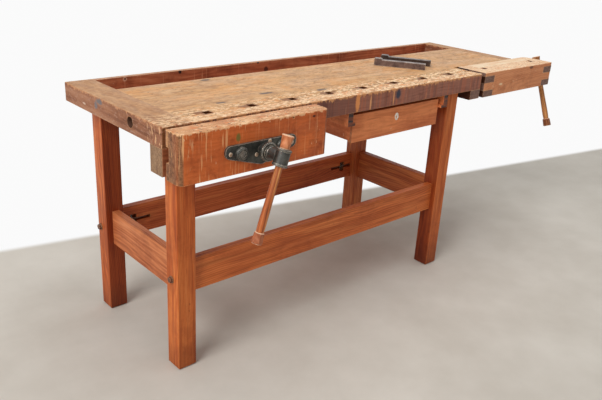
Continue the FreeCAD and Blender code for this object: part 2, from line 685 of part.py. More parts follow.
def make_tray():
    """The tray's floor, let into its neighbours, and the board behind it."""
    floor = new_body("tray_bottom")
    board(floor, ("left_cap_wide - rebate_deep", "right_cap_at + rebate_deep"), TRAY_DEPTH, TRAY)
    node(floor)
    back = new_body("back_board")
    board(back, ("left_cap_wide", "right_cap_at"), ("back_board_at", "bench_deep"), TOP)
    soften(back, "Fillet", "arris", {"y": "bench_deep", "z": "bench_height"})
    mortise(back, ("left_cap_wide", "right_cap_at"), ("back_board_at", TRAY_DEPTH[1]), TRAY)
    node(back)


def make_cap_bolts():
    """A bolt with its washer through each cap, with the square nut that it pulls on."""
    bolts, nuts = [], []
    for side in SIDES:
        away = "rotation(vector(0; 0; 1); %d)" % (0 if side == "left" else 180)
        seat = "cap_sink_deep" if side == "left" else "bench_long - cap_sink_deep"
        where = {"x": seat, "y": CAP_BOLT_AT[side], "z": "cap_bolt_high", "turn": away}
        bolts += make_bolt(side + "_cap_bolt", "cap_bolt_long", "cap_washer_radius", where)
        nut = new_body(side + "_square_nut", **where)
        half = "square_nut_side / 2"
        pad(nut, "YZ_Plane", rectangle(("-" + half, half), ("-" + half, half)),
            "cap_nut_at", "cap_nut_at + square_nut_thick")
        bore(nut, "x", ("0", "0"), "bolt_radius + fit_gap", "cap_nut_at",
             "cap_nut_at + square_nut_thick")
        nuts.append(nut)
    group("cap_bolts", bolts + nuts)


def make_bolt(name, length, washer_radius, where):
    """A six-sided bolt and its washer, laid along X with the washer's seat at zero."""
    bolt = new_body(name, **where)
    hexagon = [("head_radius * cos(%d)" % turn, "head_radius * sin(%d)" % turn)
               for turn in range(0, 360, 60)]
    pad(bolt, "YZ_Plane", hexagon, "-washer_thick - head_thick", "-washer_thick")
    revolve(bolt, "x", [
        ("-washer_thick - head_thick / 2", "0"),
        ("-washer_thick - head_thick / 2", "bolt_radius"),
        ("%s - bolt_radius / 3" % length, "bolt_radius"),
        (length, "bolt_radius * 2 / 3"),
        (length, "0"),
    ])
    washer = new_body(name + "_washer", **where)
    revolve(washer, "x", [
        ("-washer_thick", "bolt_radius + fit_gap"),
        ("-washer_thick", washer_radius),
        ("0", washer_radius),
        ("0", "bolt_radius + fit_gap"),
    ])
    return [bolt, washer]


# ---------------------------------------------------------------------------------------------
# Legs and rails
# ---------------------------------------------------------------------------------------------
LEG_X = {"left": "frame_left", "right": "right_leg_at"}
LEG_Y = {"front": "frame_front", "rear": "rear_leg_at"}
BOLT_Y = {"front": "front_bolt_at", "rear": "rear_bolt_at"}
RAIL_Y = {"front": "front_rail_at", "rear": "rear_rail_at"}
LONG_RAIL = ("long_rail_low", "long_rail_low + long_rail_tall")
STUB_Z = ("long_rail_low + stub_shoulder", "long_rail_low + long_rail_tall - stub_shoulder")
SIDE_RAIL = ("side_rail_low", "side_rail_low + side_rail_tall")
BEARER = ("bearer_low", "slab_low")


def cheeks(low_high, shoulder):
    """The same span, drawn in by a shoulder at each end."""
    return low_high[0] + " + " + shoulder, low_high[1] + " - " + shoulder


def side_rail_span(side):
    start = LEG_X[side] + " + side_rail_inset"
    return start, start + " + side_rail_thick"


def side_tenon_run(row):
    """How far a side tenon reaches into a leg."""
    if row == "front":
        return "front_leg_end - tenon_long", "front_leg_end"
    return "rear_leg_at", "rear_leg_at + tenon_long"


def stub_run(side):
    """How far a stub tenon reaches into a leg."""
    if side == "left":
        return "left_leg_end - stub_long", "left_leg_end"
    return "right_leg_at", "right_leg_at + stub_long"


def make_leg(side, row):
    """A square leg with its mortises and the bore of its frame bolt."""
    leg = new_body("%s_%s_leg" % (row, side))
    x = (LEG_X[side], LEG_X[side] + " + leg_side")
    y = (LEG_Y[row], LEG_Y[row] + " + leg_side")
    board(leg, x, y, ("0", "slab_low"))
    soften(leg, "Chamfer", "foot_bevel", {"z": "0"})
    soften(leg, "Fillet", "arris", *[{"x": at_x, "y": at_y} for at_x in x for at_y in y])
    for rail in (SIDE_RAIL, BEARER):
        mortise(leg, cheeks(side_rail_span(side), "tenon_shoulder"), side_tenon_run(row),
                cheeks(rail, "tenon_shoulder"))
    rail = (RAIL_Y[row], RAIL_Y[row] + " + long_rail_thick")
    mortise(leg, stub_run(side), cheeks(rail, "stub_shoulder"), STUB_Z)
    bore(leg, "x", (BOLT_Y[row], "bolt_high"), "bolt_radius + bolt_gap", *x)
    node(leg)


def nut_pocket(side):
    """The pocket of a wing nut and the slot of its rod, as seen from the side that it opens to.

    On the right the slot runs on to the leg, so the rod can be laid in from the side.
    """
    seat = "left_leg_end + nut_past_leg" if side == "left" else "right_leg_at - nut_past_leg"
    tip = ("left_leg_end + bolt_past_leg + tip_room" if side == "left"
           else "right_leg_at - bolt_past_leg - tip_room")
    far = seat + (" + nut_pocket_wide" if side == "left" else " - nut_pocket_wide")
    tall, slim = "nut_pocket_tall / 2", "rod_slot_tall / 2"
    high, low = "bolt_high + ", "bolt_high - "
    edge = [(seat, low + tall), (far, low + tall), (far, low + slim), (tip, low + slim),
            (tip, high + slim), (far, high + slim), (far, high + tall), (seat, high + tall)]
    if side == "right":
        edge += [(seat, high + slim), ("right_leg_at", high + slim),
                 ("right_leg_at", low + slim), (seat, low + slim)]
    return edge


def make_long_rail(row):
    """A bolted rail: stub tenons, end bores and a wing nut pocket near each end."""
    rail = new_body(row + "_long_rail")
    y = (RAIL_Y[row], RAIL_Y[row] + " + long_rail_thick")
    board(rail, ("left_leg_end", "right_leg_at"), y, LONG_RAIL)
    opening = (y[1] + " - nut_pocket_deep", y[1]) if row == "front" else (y[0], y[0] + " + nut_pocket_deep")
    runs = {
        "left": ("left_leg_end - stub_long", "left_leg_end + nut_past_leg + nut_pocket_wide"),
        "right": ("right_leg_at - nut_past_leg - nut_pocket_wide", "right_leg_at + stub_long"),
    }
    for side in SIDES:
        tenon(rail, stub_run(side), cheeks(y, "stub_shoulder"), STUB_Z)
        bore(rail, "x", (BOLT_Y[row], "bolt_high"), "bolt_radius + bolt_gap", *runs[side])
        pocket(rail, "XZ_Plane", nut_pocket(side), *opening)
    node(rail)


def make_side_frame(side):
    """The tenoned rail low in a side frame and the bearer under the top."""
    rail = new_body(side + "_side_rail")
    board(rail, side_rail_span(side), ("front_leg_end", "rear_leg_at"), SIDE_RAIL)
    bearer = new_body(side + "_top_bearer")
    board(bearer, side_rail_span(side), ("front_leg_end", "rear_leg_at"), BEARER)
    for body, height in ((rail, SIDE_RAIL), (bearer, BEARER)):
        for row in ("front", "rear"):
            tenon(body, cheeks(side_rail_span(side), "tenon_shoulder"), side_tenon_run(row),
                  cheeks(height, "tenon_shoulder"))
    for row in ("front", "rear"):
        bore(rail, "x", (BOLT_Y[row], "bolt_high"), "bolt_radius + bolt_gap", *side_rail_span(side))
    node(rail)
    node(bearer)


def make_wing_nut(name, where):
    """A wing nut laid along X with its seat at zero: a tapered hub and two leaning wings."""
    nut = new_body(name, **where)
    revolve(nut, "x", [
        ("0", "bolt_radius + fit_gap"),
        ("0", "hub_radius"),
        ("hub_long", "hub_end_radius"),
        ("hub_long", "bolt_radius + fit_gap"),
    ])
    for way in ("", "-"):
        inner, outer = way + "(hub_radius - wing_root)", way + "wing_reach"
        pad(nut, "XZ_Plane", [("hub_long * 0.1", inner), ("hub_long * 0.75", inner),
                              ("hub_long * 1.25", outer), ("hub_long * 0.7", outer)],
            "-wing_thick / 2", "wing_thick / 2")
    soften(nut, "Fillet", "wing_thick * 0.6", {"x": "hub_long * 1.25", "z": "wing_reach"},
           {"x": "hub_long * 0.7", "z": "wing_reach"}, {"x": "hub_long * 1.25", "z": "-wing_reach"},
           {"x": "hub_long * 0.7", "z": "-wing_reach"})
    return nut


def make_frame_fasteners():
    """Four bolts through the legs into the long rails, each with its wing nut."""
    bolts, nuts = [], []
    seats = {
        "left": ("frame_left", "left_leg_end + nut_past_leg", 0),
        "right": ("frame_right", "right_leg_at - nut_past_leg", 180),
    }
    for side in SIDES:
        head, seat, degrees = seats[side]
        turn = "rotation(vector(0; 0; 1); %d)" % degrees
        for row in ("front", "rear"):
            spot = {"y": BOLT_Y[row], "z": "bolt_high", "turn": turn}
            bolts += make_bolt("%s_%s_bolt" % (row, side), "leg_side + bolt_past_leg",
                               "frame_washer_radius", dict(spot, x=head))
            nuts.append(make_wing_nut("%s_%s_wing_nut" % (row, side), dict(spot, x=seat)))
    group("frame_bolts", bolts)
    group("frame_wing_nuts", nuts)


# ---------------------------------------------------------------------------------------------
# Front vise
# ---------------------------------------------------------------------------------------------
FRONT_JAWS = ("0", "chop_long")
SCREW_AT = ("front_axis_at", "front_axis_high")
ROD_SPOTS = [("left_rod_at", "front_axis_high"), ("right_rod_at", "front_axis_high")]
CHOP_SCREWS = [
    ("front_axis_at - screw_far", "front_axis_high + screw_far_lift"),
    ("front_axis_at + screw_far", "front_axis_high + screw_far_lift"),
    ("front_axis_at - screw_low_left", "front_axis_high - screw_low_drop"),
    ("front_axis_at + screw_high_right", "front_axis_high + screw_high_lift"),
]


def make_fixed_jaw_block():
    """The fixed front jaw: a block below the front edge, cut round the leg, the irons and the dogs."""
    jaw = new_body("fixed_jaw_block")
    board(jaw, FRONT_JAWS, ("0", "jaw_block_thick"), ("jaw_block_low", "slab_low"))
    soften(jaw, "Fillet", "arris", {"x": "0", "y": "0"}, {"y": "0", "z": "jaw_block_low"})
    mortise(jaw, ("frame_left - bolt_gap", "left_leg_end + bolt_gap"),
            ("frame_front - bolt_gap", "jaw_block_thick"), ("jaw_block_low", "slab_low"))
    bore(jaw, "y", SCREW_AT, "spindle_radius + wood_gap", "0", "jaw_block_thick")
    for spot in ROD_SPOTS:
        bore(jaw, "y", spot, "rod_radius + wood_gap", "0", "jaw_block_thick")
    for middle in hole_middles():
        if number(middle + " + hole_side / 2") < number("chop_long"):
            mortise(jaw, (middle + " - hole_side / 2", middle + " + hole_side / 2"),
                    ("hole_front", "jaw_block_thick"), ("jaw_block_low", "slab_low"))
    node(jaw)


def make_front_chop():
    """The moving front jaw: rounded ends, a rebate at its back left and the bores of the irons."""
    chop = new_body("front_chop")
    y = ("chop_front", "chop_back")
    board(chop, FRONT_JAWS, y, ("chop_low", "bench_height"))
    soften(chop, "Fillet", "chop_round", {"x": "0", "y": y[0]}, {"x": "chop_long", "y": y[0]})
    soften(chop, "Fillet", "arris", {"z": "bench_height"})
    mortise(chop, ("0", "jaw_rebate"), ("chop_back - jaw_rebate", "chop_back"),
            ("jaw_rebate_low", "jaw_rebate_high"))
    bore(chop, "y", SCREW_AT, "spindle_radius + wood_gap", *y)
    bore(chop, "y", SCREW_AT, "keeper_radius + wood_gap", y[0], y[0] + " + keeper_thick + wood_gap")
    for spot in ROD_SPOTS:
        bore(chop, "y", spot, "rod_radius + fit_gap", *y)
    for spot in CHOP_SCREWS:
        bore(chop, "y", spot, "wood_screw_shank + fit_gap", y[0], y[0] + " + wood_screw_long")
    bore(chop, "y", ("peg_hole_at", "bench_height - peg_hole_drop"), "peg_hole_radius",
         y[0], y[0] + " + peg_hole_deep")
    node(chop)


def make_chop_plate():
    """The cast plate: straight on top, round at its ends and falling to a point below the spindle."""
    plate = new_body("chop_plate")
    left, right = "front_axis_at - plate_half", "front_axis_at + plate_half"
    high, low = "front_axis_high + plate_rise", "front_axis_high - plate_end_drop"
    tip = ("front_axis_at", "front_axis_high - plate_tip_drop")
    pad(plate, "XZ_Plane", [(left, high), (left, low), tip, (right, low), (right, high)],
        "plate_front", "chop_front")
    soften(plate, "Fillet", "plate_tip_round", {"x": tip[0], "z": tip[1]})
    soften(plate, "Fillet", "plate_end_round", *[
        {"x": side, "z": level} for side in (left, right) for level in (high, low)])
    bore(plate, "y", SCREW_AT, "spindle_radius + free_gap", "plate_front", "chop_front")
    for spot in ROD_SPOTS:
        bore(plate, "y", spot, "rod_radius + fit_gap", "plate_front", "chop_front")
    for spot in CHOP_SCREWS:
        bore(plate, "y", spot, "wood_screw_shank + fit_gap", "plate_front", "chop_front")
    node(plate)


def make_wood_screw(name, where):
    """A round-headed wood screw along Y: its head stands in front of zero, its point behind."""
    screw = new_body(name, **where)
    revolve(screw, "y", [
        ("-wood_screw_proud", "0"),
        ("-wood_screw_proud", "wood_screw_head / 2"),
        ("-wood_screw_proud / 3", "wood_screw_head"),
        ("0", "wood_screw_head"),
        ("0", "wood_screw_shank"),
        ("wood_screw_long * 0.7", "wood_screw_shank"),
        ("wood_screw_long", "0"),
    ])
    return screw


def make_guide_rods():
    """Two rods fixed in the chop by ring nuts and joined at the back by a bar."""
    rods, rings = [], []
    bar = new_body("rod_tie_bar")
    board(bar, ("left_rod_at - tie_bar_past", "right_rod_at + tie_bar_past"),
          ("rod_back", "rod_back + plate_thick"),
          ("front_axis_high - tie_bar_tall / 2", "front_axis_high + tie_bar_tall / 2"))
    for turn, (x, z) in enumerate(ROD_SPOTS):
        where = {"x": x, "z": z}
        rod = new_body("guide_rod_%d" % turn, **where)
        front, peg = "plate_front - ring_long + rod_front_in", "rod_peg_radius"
        back = "rod_back + plate_thick + rod_peg_past"
        revolve(rod, "y", [
            (front, "0"), (front, "rod_radius - small_bevel"),
            (front + " + small_bevel", "rod_radius"),
            ("rod_back", "rod_radius"), ("rod_back", peg), (back, peg), (back, "0"),
        ])
        for way in ("", "-"):
            bore(rod, "y", (way + "pin_holes_apart / 2", "0"), "pin_hole_radius",
                 front, front + " + pin_hole_deep")
        rods.append(rod)
        ring = new_body("ring_nut_%d" % turn, **where)
        hole = "rod_radius + fit_gap"
        revolve(ring, "y", [
            ("plate_front", hole), ("plate_front - ring_long", hole),
            ("plate_front - ring_long", "ring_radius * 0.72"),
            ("plate_front - ring_long * 0.72", "ring_radius * 0.93"),
            ("plate_front - ring_long * 0.4", "ring_radius"), ("plate_front", "ring_radius"),
        ])
        rings.append(ring)
        bore(bar, "y", (x, z), peg + " + fit_gap", "rod_back", "rod_back + plate_thick")
    node(bar)
    group("guide_rods", rods)
    group("rod_ring_nuts", rings)


def make_screw_collar():
    """The sleeve on the plate that the front spindle turns in."""
    collar = new_body("screw_collar", x=SCREW_AT[0], z=SCREW_AT[1])
    hole = "spindle_radius + free_gap"
    revolve(collar, "y", [
        ("plate_front", hole), ("collar_front", hole), ("collar_front", "collar_radius - middle_bevel"),
        ("collar_front + middle_bevel", "collar_radius"), ("plate_front", "collar_radius"),
    ])
    node(collar)


def t_head(body, role_axis, middle, tilt):
    """The cross barrel of a screw, leaning by tilt, with a lip at each end and a plain bore."""
    half, lip = "barrel_long / 2", "barrel_long / 2 - lip_long"
    profile = [
        ("-(%s)" % half, "handle_bore"), ("-(%s)" % half, "lip_radius - small_bevel"),
        ("-(%s) + small_bevel" % half, "lip_radius"), ("-(%s)" % lip, "lip_radius"),
        ("-(%s) + middle_bevel" % lip, "barrel_radius"), ("%s - middle_bevel" % lip, "barrel_radius"),
        (lip, "lip_radius"), ("%s - small_bevel" % half, "lip_radius"),
        (half, "lip_radius - small_bevel"), (half, "handle_bore"),
    ]
    corners = [(radius, along) for along, radius in profile]
    sketch = outline(body, role_axis, corners, middle, tilt)
    turned = body.newObject("PartDesign::Revolution", "Barrel")
    turned.Profile = sketch
    turned.ReferenceAxis = (sketch, ["V_Axis"])
    turned.Angle = 360


def make_front_screw():
    """The front spindle: keeper shoulder, disc flange, neck and T-head in one piece."""
    screw = new_body("front_screw", x=SCREW_AT[0], z=SCREW_AT[1])
    disc = "collar_front - free_gap"
    ring = disc + " - disc_thick - second_ring_thick"
    neck_end = "front_head_at + handle_bore + bore_wall"
    revolve(screw, "y", [
        (neck_end, "0"), (neck_end, "neck_radius"),
        (ring + " - middle_bevel", "neck_radius + neck_flare"), (ring, "second_ring_radius"),
        (disc + " - disc_thick", "second_ring_radius"),
        (disc + " - disc_thick", "disc_radius - large_bevel"),
        (disc + " - disc_thick + large_bevel", "disc_radius"),
        (disc + " - middle_bevel", "disc_radius"), (disc, "disc_radius - middle_bevel"),
        (disc, "spindle_radius"),
        ("chop_front + free_gap", "spindle_radius"), ("chop_front + free_gap", "keeper_radius"),
        ("chop_front + keeper_thick", "keeper_radius"), ("chop_front + keeper_thick", "spindle_radius"),
        ("spindle_back - large_bevel", "spindle_radius"),
        ("spindle_back", "spindle_radius - large_bevel"), ("spindle_back", "0"),
    ])
    t_head(screw, "XZ_Plane", "-front_head_at", "-front_tilt")
    node(screw)


def make_front_guide():
    """Behind the fixed jaw: the plate with the rods' sockets, and the nut of the spindle."""
    plate = new_body("front_guide_plate")
    half = "guide_plate_half"
    pad(plate, "XZ_Plane", rectangle(
        ("front_axis_at - " + half, "front_axis_at + " + half),
        ("guide_plate_high - guide_plate_tall", "guide_plate_high")), "jaw_block_thick", "guide_plate_back")
    bore(plate, "y", SCREW_AT, "spindle_radius + wood_gap", "jaw_block_thick", "guide_plate_back")
    for x, z in ROD_SPOTS:
        socket = plate.newObject("PartDesign::AdditiveCylinder", "Socket")
        socket.setExpression("Radius", bound("socket_radius"))
        socket.setExpression("Height", bound("socket_long"))
        socket.setExpression("Placement", bound("placement(vector(%s; guide_plate_back; %s); %s)"
                                                % (x, z, ALONG["y"])))
        bore(plate, "y", (x, z), "rod_radius + fit_gap", "jaw_block_thick",
             "guide_plate_back + socket_long")
    node(plate)
    nut = new_body("front_screw_nut", x=SCREW_AT[0], z=SCREW_AT[1])
    hole, seat = "spindle_radius + fit_gap", "guide_plate_back"
    revolve(nut, "y", [
        (seat, hole), (seat, "nut_flange"), (seat + " + plate_thick", "nut_flange"),
        (seat + " + plate_thick", "nut_radius"), (seat + " + nut_long", "nut_radius"),
        (seat + " + nut_long", hole),
    ])
    node(nut)


def make_handle(prefix, knob_long, where, turn):
    """A turned handle through a T-head: a rod that swells downwards between two wooden knobs."""
    where = dict(where, turn=turn)
    rod = new_body(prefix + "_handle_rod", **where)
    top = "knob_high_start + knob_tenon_long"
    revolve(rod, "z", [
        ("-knob_low_start - knob_tenon_long", "0"), ("-knob_low_start - knob_tenon_long", "knob_tenon"),
        ("-knob_low_start", "knob_tenon"), ("-knob_low_start", "handle_swell - swell_drop"),
        ("-knob_low_start + swell_run", "handle_swell"),
        ("-(knob_low_start + handle_straight) / 2", "(handle_radius + handle_swell) / 2 + handle_taper"),
        ("-handle_straight", "handle_radius + handle_taper"), ("-barrel_long / 2", "handle_radius"),
        ("knob_high_start", "handle_radius"), ("knob_high_start", "knob_tenon"),
        (top, "knob_tenon"), (top, "0"),
    ])
    node(rod)
    high = new_body(prefix + "_knob_high", **where)
    hole = "knob_tenon + fit_gap"
    start, end = "knob_high_start", "knob_high_start + " + knob_long
    revolve(high, "z", [
        (start, hole), (start, "knob_neck_radius"),
        (start + " + %s / 2" % knob_long, "knob_waist_radius"),
        (end + " - knob_shoulder", "knob_high_radius - small_bevel"),
        (end + " - knob_crown", "knob_high_radius"),
        (end, "knob_high_radius - middle_bevel"), (end, "0"), (top + " + fit_gap", "0"),
        (top + " + fit_gap", hole),
    ])
    low = new_body(prefix + "_knob_low", **where)
    octagon = [("knob_low_radius * cos(%.1f)" % (turn_by + 22.5),
                "knob_low_radius * sin(%.1f)" % (turn_by + 22.5)) for turn_by in range(0, 360, 45)]
    foot = "-knob_low_start - knob_low_long"
    flats = pad(low, "XY_Plane", octagon, foot, "-knob_low_start")
    flats.setExpression("TaperAngle", bound("-knob_low_taper"))
    soften(low, "Chamfer", "arris", {"z": foot}, {"z": "-knob_low_start"})
    bore(low, "z", ("0", "0"), hole, "-knob_low_start - knob_tenon_long - fit_gap", "-knob_low_start")
    group(prefix + "_handle_knobs", [high, low])


# ---------------------------------------------------------------------------------------------
# Tail vise
# ---------------------------------------------------------------------------------------------
TAIL = ("tail_low", "bench_height")
FINGERS = [("tail_low", "tail_low + finger_low_tall"),
           ("finger_high_low", "finger_high_low + finger_high_tall")]
RUNNER_GROOVE = ("runner_bottom - free_gap", "runner_bottom + runner_thick + free_gap")
TAIL_HOLES = ["vise_hole_left", "vise_hole_right"]
TAIL_AXIS = ("tail_axis_back", "tail_axis_high")
JAW_RUN = ("tail_left", "tail_jaw_end")
END_RUN = ("tail_end_at", "tail_right")
INNER_RUN = ("tail_jaw_end", "tail_end_at")


def tail_hole(body, middle):
    """A square dog hole down through the tail vise."""
    mortise(body, (middle + " - hole_side / 2", middle + " + hole_side / 2"),
            ("hole_front", "hole_back"), TAIL)


def tail_screw_spots():
    """The corners of the tail plate, drawn in to its screws."""
    across, up = "tail_plate_half - tail_screw_in", "tail_plate_tall / 2 - tail_screw_in"
    return [("tail_axis_back %s (%s)" % (side, across), "tail_axis_high %s (%s)" % (level, up))
            for side in "-+" for level in "-+"]


def bore_for_tail_screws(body):
    """Pilot holes of the tail plate's screws, wherever they fall on the board or the end block."""
    for spot in tail_screw_spots():
        bore(body, "x", spot, "wood_screw_shank + fit_gap", "tail_right - wood_screw_long",
             "tail_right")


def make_tail_front_board():
    """The thick front board, notched at both ends for the fingers of the blocks behind it."""
    front = new_body("tail_front_board")
    board(front, ("tail_left", "tail_right"), ("0", "tail_front_thick"), TAIL)
    soften(front, "Fillet", "arris", {"y": "0", "z": "bench_height"}, {"x": "tail_right", "y": "0"})
    for run in (JAW_RUN, END_RUN):
        for finger in FINGERS:
            mortise(front, run, ("0", "tail_front_thick"), finger)
    for middle in TAIL_HOLES:
        tail_hole(front, middle)
    bore_for_tail_screws(front)
    node(front)


def make_tail_blocks():
    """The moving jaw block and the end block, finger jointed into the front board."""
    for name, run in (("tail_jaw_block", JAW_RUN), ("tail_end_block", END_RUN)):
        body = new_body(name)
        board(body, run, ("tail_front_thick", "tail_back_at"), TAIL)
        if run == END_RUN:
            soften(body, "Fillet", "tail_corner_round", {"x": "tail_right", "y": "tail_back_at"})
            bore(body, "x", TAIL_AXIS, "tail_spindle_radius + wood_gap", *run)
            bore(body, "x", TAIL_AXIS, "tail_keeper_radius + wood_gap",
                 "tail_right - keeper_thick - wood_gap", "tail_right")
        else:
            mortise(body, run, ("runner_front - free_gap", "tail_back_at"), RUNNER_GROOVE)
        for finger in FINGERS:
            tenon(body, run, ("0", "tail_front_thick"), finger)
        if run == END_RUN:
            bore_for_tail_screws(body)
        for middle in TAIL_HOLES:
            if number(middle + " - hole_side / 2") < number(run[1]) and \
                    number(middle + " + hole_side / 2") > number(run[0]):
                tail_hole(body, middle)
        node(body)


def make_tail_boards():
    """The cover board and the inner board, which is grooved for the runner and clears the nut."""
    cover = new_body("tail_top_board")
    board(cover, INNER_RUN, ("tail_front_thick", "tail_back_at"), ("tail_cover_low", "bench_height"))
    node(cover)
    inner = new_body("tail_inner_board")
    board(inner, INNER_RUN, ("tail_inner_at", "tail_back_at"), ("tail_low", "tail_cover_low"))
    mortise(inner, INNER_RUN, ("runner_front - free_gap", "tail_back_at"), RUNNER_GROOVE)
    mortise(inner, ("nut_passage_at", "tail_end_at"), ("tail_inner_at", "tail_back_at"),
            ("tail_low", "nut_block_top + passage_play"))
    node(inner)


def make_tail_plate():
    """The iron plate on the end block, with the boss that the spindle turns in, and its screws."""
    plate = new_body("tail_screw_plate")
    across, up = "tail_plate_half", "tail_plate_tall / 2"
    pad(plate, "YZ_Plane", rectangle(
        ("tail_axis_back - " + across, "tail_axis_back + " + across),
        ("tail_axis_high - " + up, "tail_axis_high + " + up)), "tail_right", "tail_plate_end")
    soften(plate, "Fillet", "arris * 2", *[
        {"y": "tail_axis_back %s %s" % (side, across), "z": "tail_axis_high %s %s" % (level, up)}
        for side in "-+" for level in "-+"])
    boss = plate.newObject("PartDesign::AdditiveCylinder", "Boss")
    boss.setExpression("Radius", bound("tail_boss_radius"))
    boss.setExpression("Height", bound("tail_boss_long"))
    boss.setExpression("Placement", bound("placement(vector(tail_plate_end; %s; %s); %s)"
                                          % (TAIL_AXIS + (ALONG["x"],))))
    bore(plate, "x", TAIL_AXIS, "tail_spindle_radius + free_gap", "tail_right", "tail_boss_end")
    turn = "rotation(vector(0; 0; 1); 90)"
    screws = []
    for at, (y, z) in enumerate(tail_screw_spots()):
        bore(plate, "x", (y, z), "wood_screw_shank + fit_gap", "tail_right", "tail_plate_end")
        screws.append(make_wood_screw("tail_screw_%d" % at,
                                      {"x": "tail_plate_end", "y": y, "z": z, "turn": turn}))
    node(plate)
    group("tail_plate_screws", screws)


def make_tail_screw():
    """The tail spindle: keeper shoulder, disc flange, neck and T-head in one piece."""
    screw = new_body("tail_screw", y=TAIL_AXIS[0], z=TAIL_AXIS[1])
    disc = "tail_boss_end + free_gap"
    neck_end = "tail_hub_at - handle_bore - bore_wall"
    keeper = "tail_right - free_gap"
    revolve(screw, "x", [
        ("tail_spindle_left", "0"), ("tail_spindle_left", "tail_spindle_radius - large_bevel"),
        ("tail_spindle_left + large_bevel", "tail_spindle_radius"),
        ("tail_right - keeper_thick", "tail_spindle_radius"),
        ("tail_right - keeper_thick", "tail_keeper_radius"), (keeper, "tail_keeper_radius"),
        (keeper, "tail_spindle_radius"), (disc, "tail_spindle_radius"),
        (disc, "tail_disc_radius - middle_bevel"), (disc + " + middle_bevel", "tail_disc_radius"),
        (disc + " + tail_disc_thick - large_bevel", "tail_disc_radius"),
        (disc + " + tail_disc_thick", "tail_disc_radius - large_bevel"),
        (disc + " + tail_disc_thick", "neck_radius + neck_flare"),
        (neck_end, "neck_radius"), (neck_end, "0"),
    ])
    t_head(screw, "YZ_Plane", "tail_hub_at", "-tail_tilt")
    node(screw)


def make_tail_fixtures():
    """What the bench holds for the tail vise: fixed jaw, runner, nut block and nut."""
    batten = new_body("slot_batten")
    board(batten, ("vise_notch_at - batten_long", "vise_notch_at"), ("0", "batten_deep"),
          ("slab_low - batten_tall", "slab_low"))
    soften(batten, "Chamfer", "arris", {"y": "0", "z": "slab_low - batten_tall"})
    node(batten)
    runner = new_body("tail_runner")
    board(runner, ("runner_start", "runner_stop"), ("runner_front", "vise_notch_deep"),
          ("runner_bottom", "runner_bottom + runner_thick"))
    node(runner)
    holder = new_body("tail_nut_block")
    foot = "vise_notch_deep + nut_block_foot"
    pad(holder, "YZ_Plane", [
        ("nut_block_front", "nut_block_bottom"), (foot, "nut_block_bottom"), (foot, "slab_low"),
        ("vise_notch_deep", "slab_low"), ("vise_notch_deep", "nut_block_top"),
        ("nut_block_front", "nut_block_top"),
    ], "right_cap_at", "bench_long")
    bore(holder, "x", TAIL_AXIS, "tail_nut_radius + fit_gap", "right_cap_at", "bench_long")
    node(holder)
    nut = new_body("tail_screw_nut", y=TAIL_AXIS[0], z=TAIL_AXIS[1])
    left, right = "right_cap_at - tail_nut_proud", "bench_long + tail_nut_proud"
    hole = "tail_spindle_radius + fit_gap"
    revolve(nut, "x", [(left, hole), (left, "tail_nut_radius"), (right, "tail_nut_radius"), (right, hole)])
    node(nut)


# ---------------------------------------------------------------------------------------------
# Drawer
# ---------------------------------------------------------------------------------------------
DRAWER_SPAN = ("drawer_left", "drawer_right")
BOTTOM = ("drawer_bottom_low", "drawer_bottom_low + drawer_bottom_thick")
DRAWER_SIDE_X = {
    "left": ("drawer_left", "drawer_left + drawer_side_thick"),
    "right": ("drawer_right - drawer_side_thick", "drawer_right"),
}
GROOVE_X = {
    "left": ("drawer_left + drawer_side_thick - drawer_groove", "drawer_left + drawer_side_thick"),
    "right": ("drawer_right - drawer_side_thick", "drawer_right - drawer_side_thick + drawer_groove"),
}
DRAWER_HIGH = ("drawer_bottom_low - drawer_lip", "drawer_high")


def make_drawer():
    """A plain drawer: lapped front, grooved sides, loose bottom and two runner strips."""
    front = new_body("drawer_front")
    board(front, DRAWER_SPAN, ("drawer_front_at", "drawer_front_back"), ("drawer_low", "drawer_high"))
    lap = ("drawer_front_back - drawer_lap", "drawer_front_back")
    bottom_x = (GROOVE_X["left"][0], GROOVE_X["right"][1])
    mortise(front, bottom_x, ("drawer_front_back - drawer_groove", "drawer_front_back"), BOTTOM)
    inside = (DRAWER_SIDE_X["left"][1], DRAWER_SIDE_X["right"][0])
    for side in SIDES:
        x = DRAWER_SIDE_X[side]
        mortise(front, x, lap, DRAWER_HIGH)
        wall = new_body("drawer_%s_side" % side)
        board(wall, x, (lap[0], "drawer_back_at"), DRAWER_HIGH)
        mortise(wall, GROOVE_X[side], (lap[0], "drawer_back_at"), BOTTOM)
        node(wall)
    node(front)
    back = new_body("drawer_back")
    board(back, inside, ("drawer_back_at - drawer_side_thick", "drawer_back_at"),
          (BOTTOM[1], "drawer_high"))
    node(back)
    bottom = new_body("drawer_bottom")
    board(bottom, bottom_x, ("drawer_front_back - drawer_groove", "drawer_back_at"), BOTTOM)
    node(bottom)
    strips = []
    outer = {
        "left": ("drawer_left - cleat_thick", "drawer_left"),
        "right": ("drawer_right", "drawer_right + cleat_thick"),
    }
    for side in SIDES:
        strip = new_body(side + "_cleat")
        board(strip, outer[side], ("drawer_front_back", "drawer_back_at"),
              ("cleat_low", "cleat_low + cleat_tall"))
        strips.append(strip)
    group("drawer_cleats", strips)


def make_hangers():
    """The two L-shaped runners under the top that carry the drawer."""
    arms = {
        "left": ("drawer_left - cleat_thick - hanger_play", "-"),
        "right": ("drawer_right + cleat_thick + hanger_play", "+"),
    }
    for side in SIDES:
        hanger = new_body(side + "_hanger")
        arm, away = arms[side]
        out = "%s %s hanger_thick" % (arm, away)
        toe = "%s %s hanger_foot" % (arm, "-" if away == "+" else "+")
        pad(hanger, "XZ_Plane", [(out, "slab_low"), (out, "foot_low"), (toe, "foot_low"),
                                 (toe, "foot_high"), (arm, "foot_high"), (arm, "slab_low")],
            "hanger_front", "drawer_back_at")
        node(hanger)


